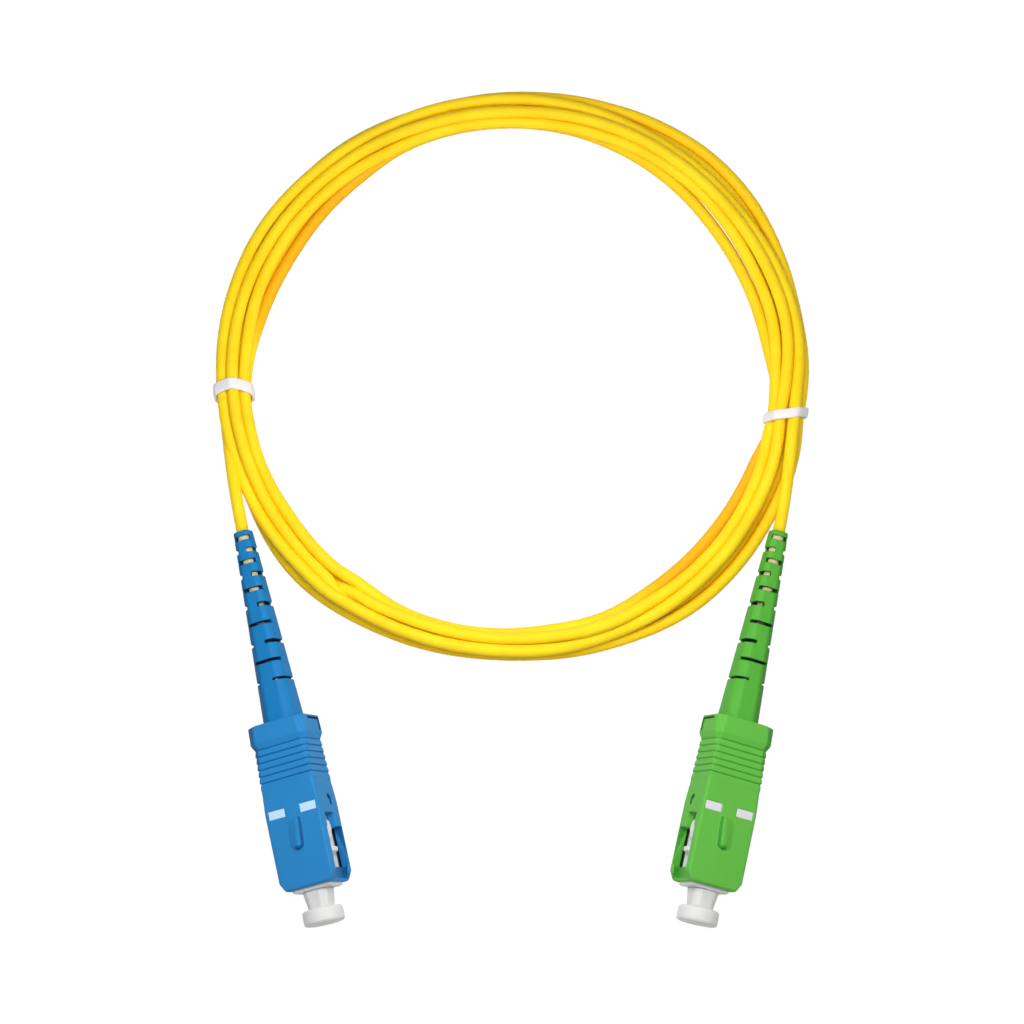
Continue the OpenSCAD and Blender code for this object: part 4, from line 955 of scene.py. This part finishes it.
boot_tone_and_shade = {"a": boot_material("boot_blue_elastomer", (0.008, 0.190, 0.470)),
               "b": boot_material("boot_green_elastomer", (0.090, 0.405, 0.042))}
for side, hue in HUE.items():
    fit("boot_relief_" + side, *boot_shape, side, boot_tone_and_shade[side], "cord", "boot_" + hue,
        "boot_" + side)


# ---- Inside the plugs: ferrule, flange, fiber, stop body, crimp, yarn and buffer ----
# Parts whose solids are kept as they are, with a finish for each: zirconia, plated and drawn
# metal, glass, gold aramid yarn, white plastic, and the jacket's PVC, tan with painted shade
# in the boot.
def metal(name, tone, rough, marks):
    """Turned or drawn metal, with fine marks that are longer by marks along x, y and z."""
    g = Graph(name)
    at = g.place()
    lines, clouds = g.noise(at, 0.12, 3.0, marks), g.noise(at, 1.5, 2.0)
    return g.surface(Base_Color=g.mix(tone_times(tone, 0.85), tone, clouds),
                     Metallic=1.0, Roughness=rough + lines * 0.18, Normal=g.bump(lines, 0.006))


def ceramic():
    """Ground zirconia: bone white, nearly glossy, with the faintest grinding marks."""
    g = Graph("ferrule_zirconia")
    lines, clouds = g.noise(g.place(), 0.1, 2.0, (1, 6, 1)), g.noise(g.place(), 1.2, 2.0)
    return g.surface(Base_Color=g.mix((0.74, 0.72, 0.68), (0.80, 0.79, 0.76), clouds),
                     Roughness=0.12 + lines * 0.08, Specular_IOR_Level=0.6,
                     Subsurface_Weight=0.2, Subsurface_Radius=(0.5, 0.45, 0.4),
                     Subsurface_Scale=0.0005, Normal=g.bump(lines, 0.002))


def yarn():
    """Aramid yarn: gold strands a tenth of a millimetre thick, lying along the plug."""
    g = Graph("yarn_gold_aramid")
    strands = g.noise(g.place(), 0.09, 3.0, (1, 14, 1))
    return g.surface(Base_Color=g.mix((0.50, 0.34, 0.06), (0.86, 0.68, 0.22), strands),
                     Roughness=0.45 + strands * 0.2, Sheen_Weight=0.15,
                     Normal=g.bump(strands, 0.05))


def glass():
    """Silica fiber: clear and glossy, here pale because its core is too thin to see into."""
    g = Graph("fiber_silica")
    clouds = g.noise(g.place(), 0.5, 2.0)
    return g.surface(Base_Color=g.mix((0.70, 0.80, 0.84), (0.82, 0.90, 0.92), clouds),
                     Roughness=0.03 + clouds * 0.03, Specular_IOR_Level=0.5)


KEPT = {
    "ferrule": ceramic(),
    "ferrule_flange": metal("flange_nickel_plated", (0.78, 0.74, 0.64), 0.22, (1, 8, 1)),
    "fiber": glass(),
    "stop_body": metal("stop_body_plated", (0.66, 0.67, 0.69), 0.28, (1, 8, 1)),
    "crimp_sleeve": metal("crimp_sleeve_drawn", (0.70, 0.70, 0.71), 0.30, (1, 1, 10)),
    "aramid_yarn": yarn(),
    "buffer_tube": white_plastic("buffer_white_tube", (0.74, 0.73, 0.70)),
    "jacket_end": jacket_material("jacket_in_boot", in_boot=True),
}
for node, finish in KEPT.items():
    for side in "ab":
        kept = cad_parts[node + "_" + side]
        for slot in kept.material_slots:
            slot.material = finish


# ---- Ferrule springs: they hold each ferrule forwards against its web ----
# Stainless spring wire wound in seven curls between the stop body and the flange's
# collar. In the real plug a spring shortens as its ferrule is pushed back; here it is made
# at its full length.
SPRING_U0, SPRING_U1, SPRING_R, WIRE_R, CURLS = 9.52, 18.98, 1.75, 0.17, 7
CURL_STEPS, WIRE_SIDES = 40, 12


def spring_shape():
    """A round wire along a helix: its middle is (u0 + rise t, R cos t, R sin t), and each ring
    round it lies along the helix's outward and sideways ways."""
    t = np.linspace(0, 2 * pi * CURLS, CURL_STEPS * CURLS + 1)
    outward = np.stack([0 * t, np.cos(t), np.sin(t)], axis=1)
    middle = SPRING_R * outward
    middle[:, 0] = SPRING_U0 + WIRE_R + (SPRING_U1 - SPRING_U0 - 2 * WIRE_R) * t / t[-1]
    sideways = unit(np.cross(outward, np.gradient(middle, axis=0)))
    ring = -full_turn(WIRE_SIDES)[None, :, None]
    points = middle[:, None] + WIRE_R * (np.cos(ring) * outward[:, None]
                                         + np.sin(ring) * sideways[:, None])
    return points.reshape(-1, 3), capped_faces(len(t), WIRE_SIDES)


spring_steel = metal("spring_steel", (0.60, 0.60, 0.62), 0.20, (1, 1, 1))
for side, mirror in MIRROR.items():
    spring = fit("spring_coil_" + side, *spring_shape(), side, spring_steel, "cord",
                 "spring_steel", "ferrule_spring_" + side)
    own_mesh(spring)
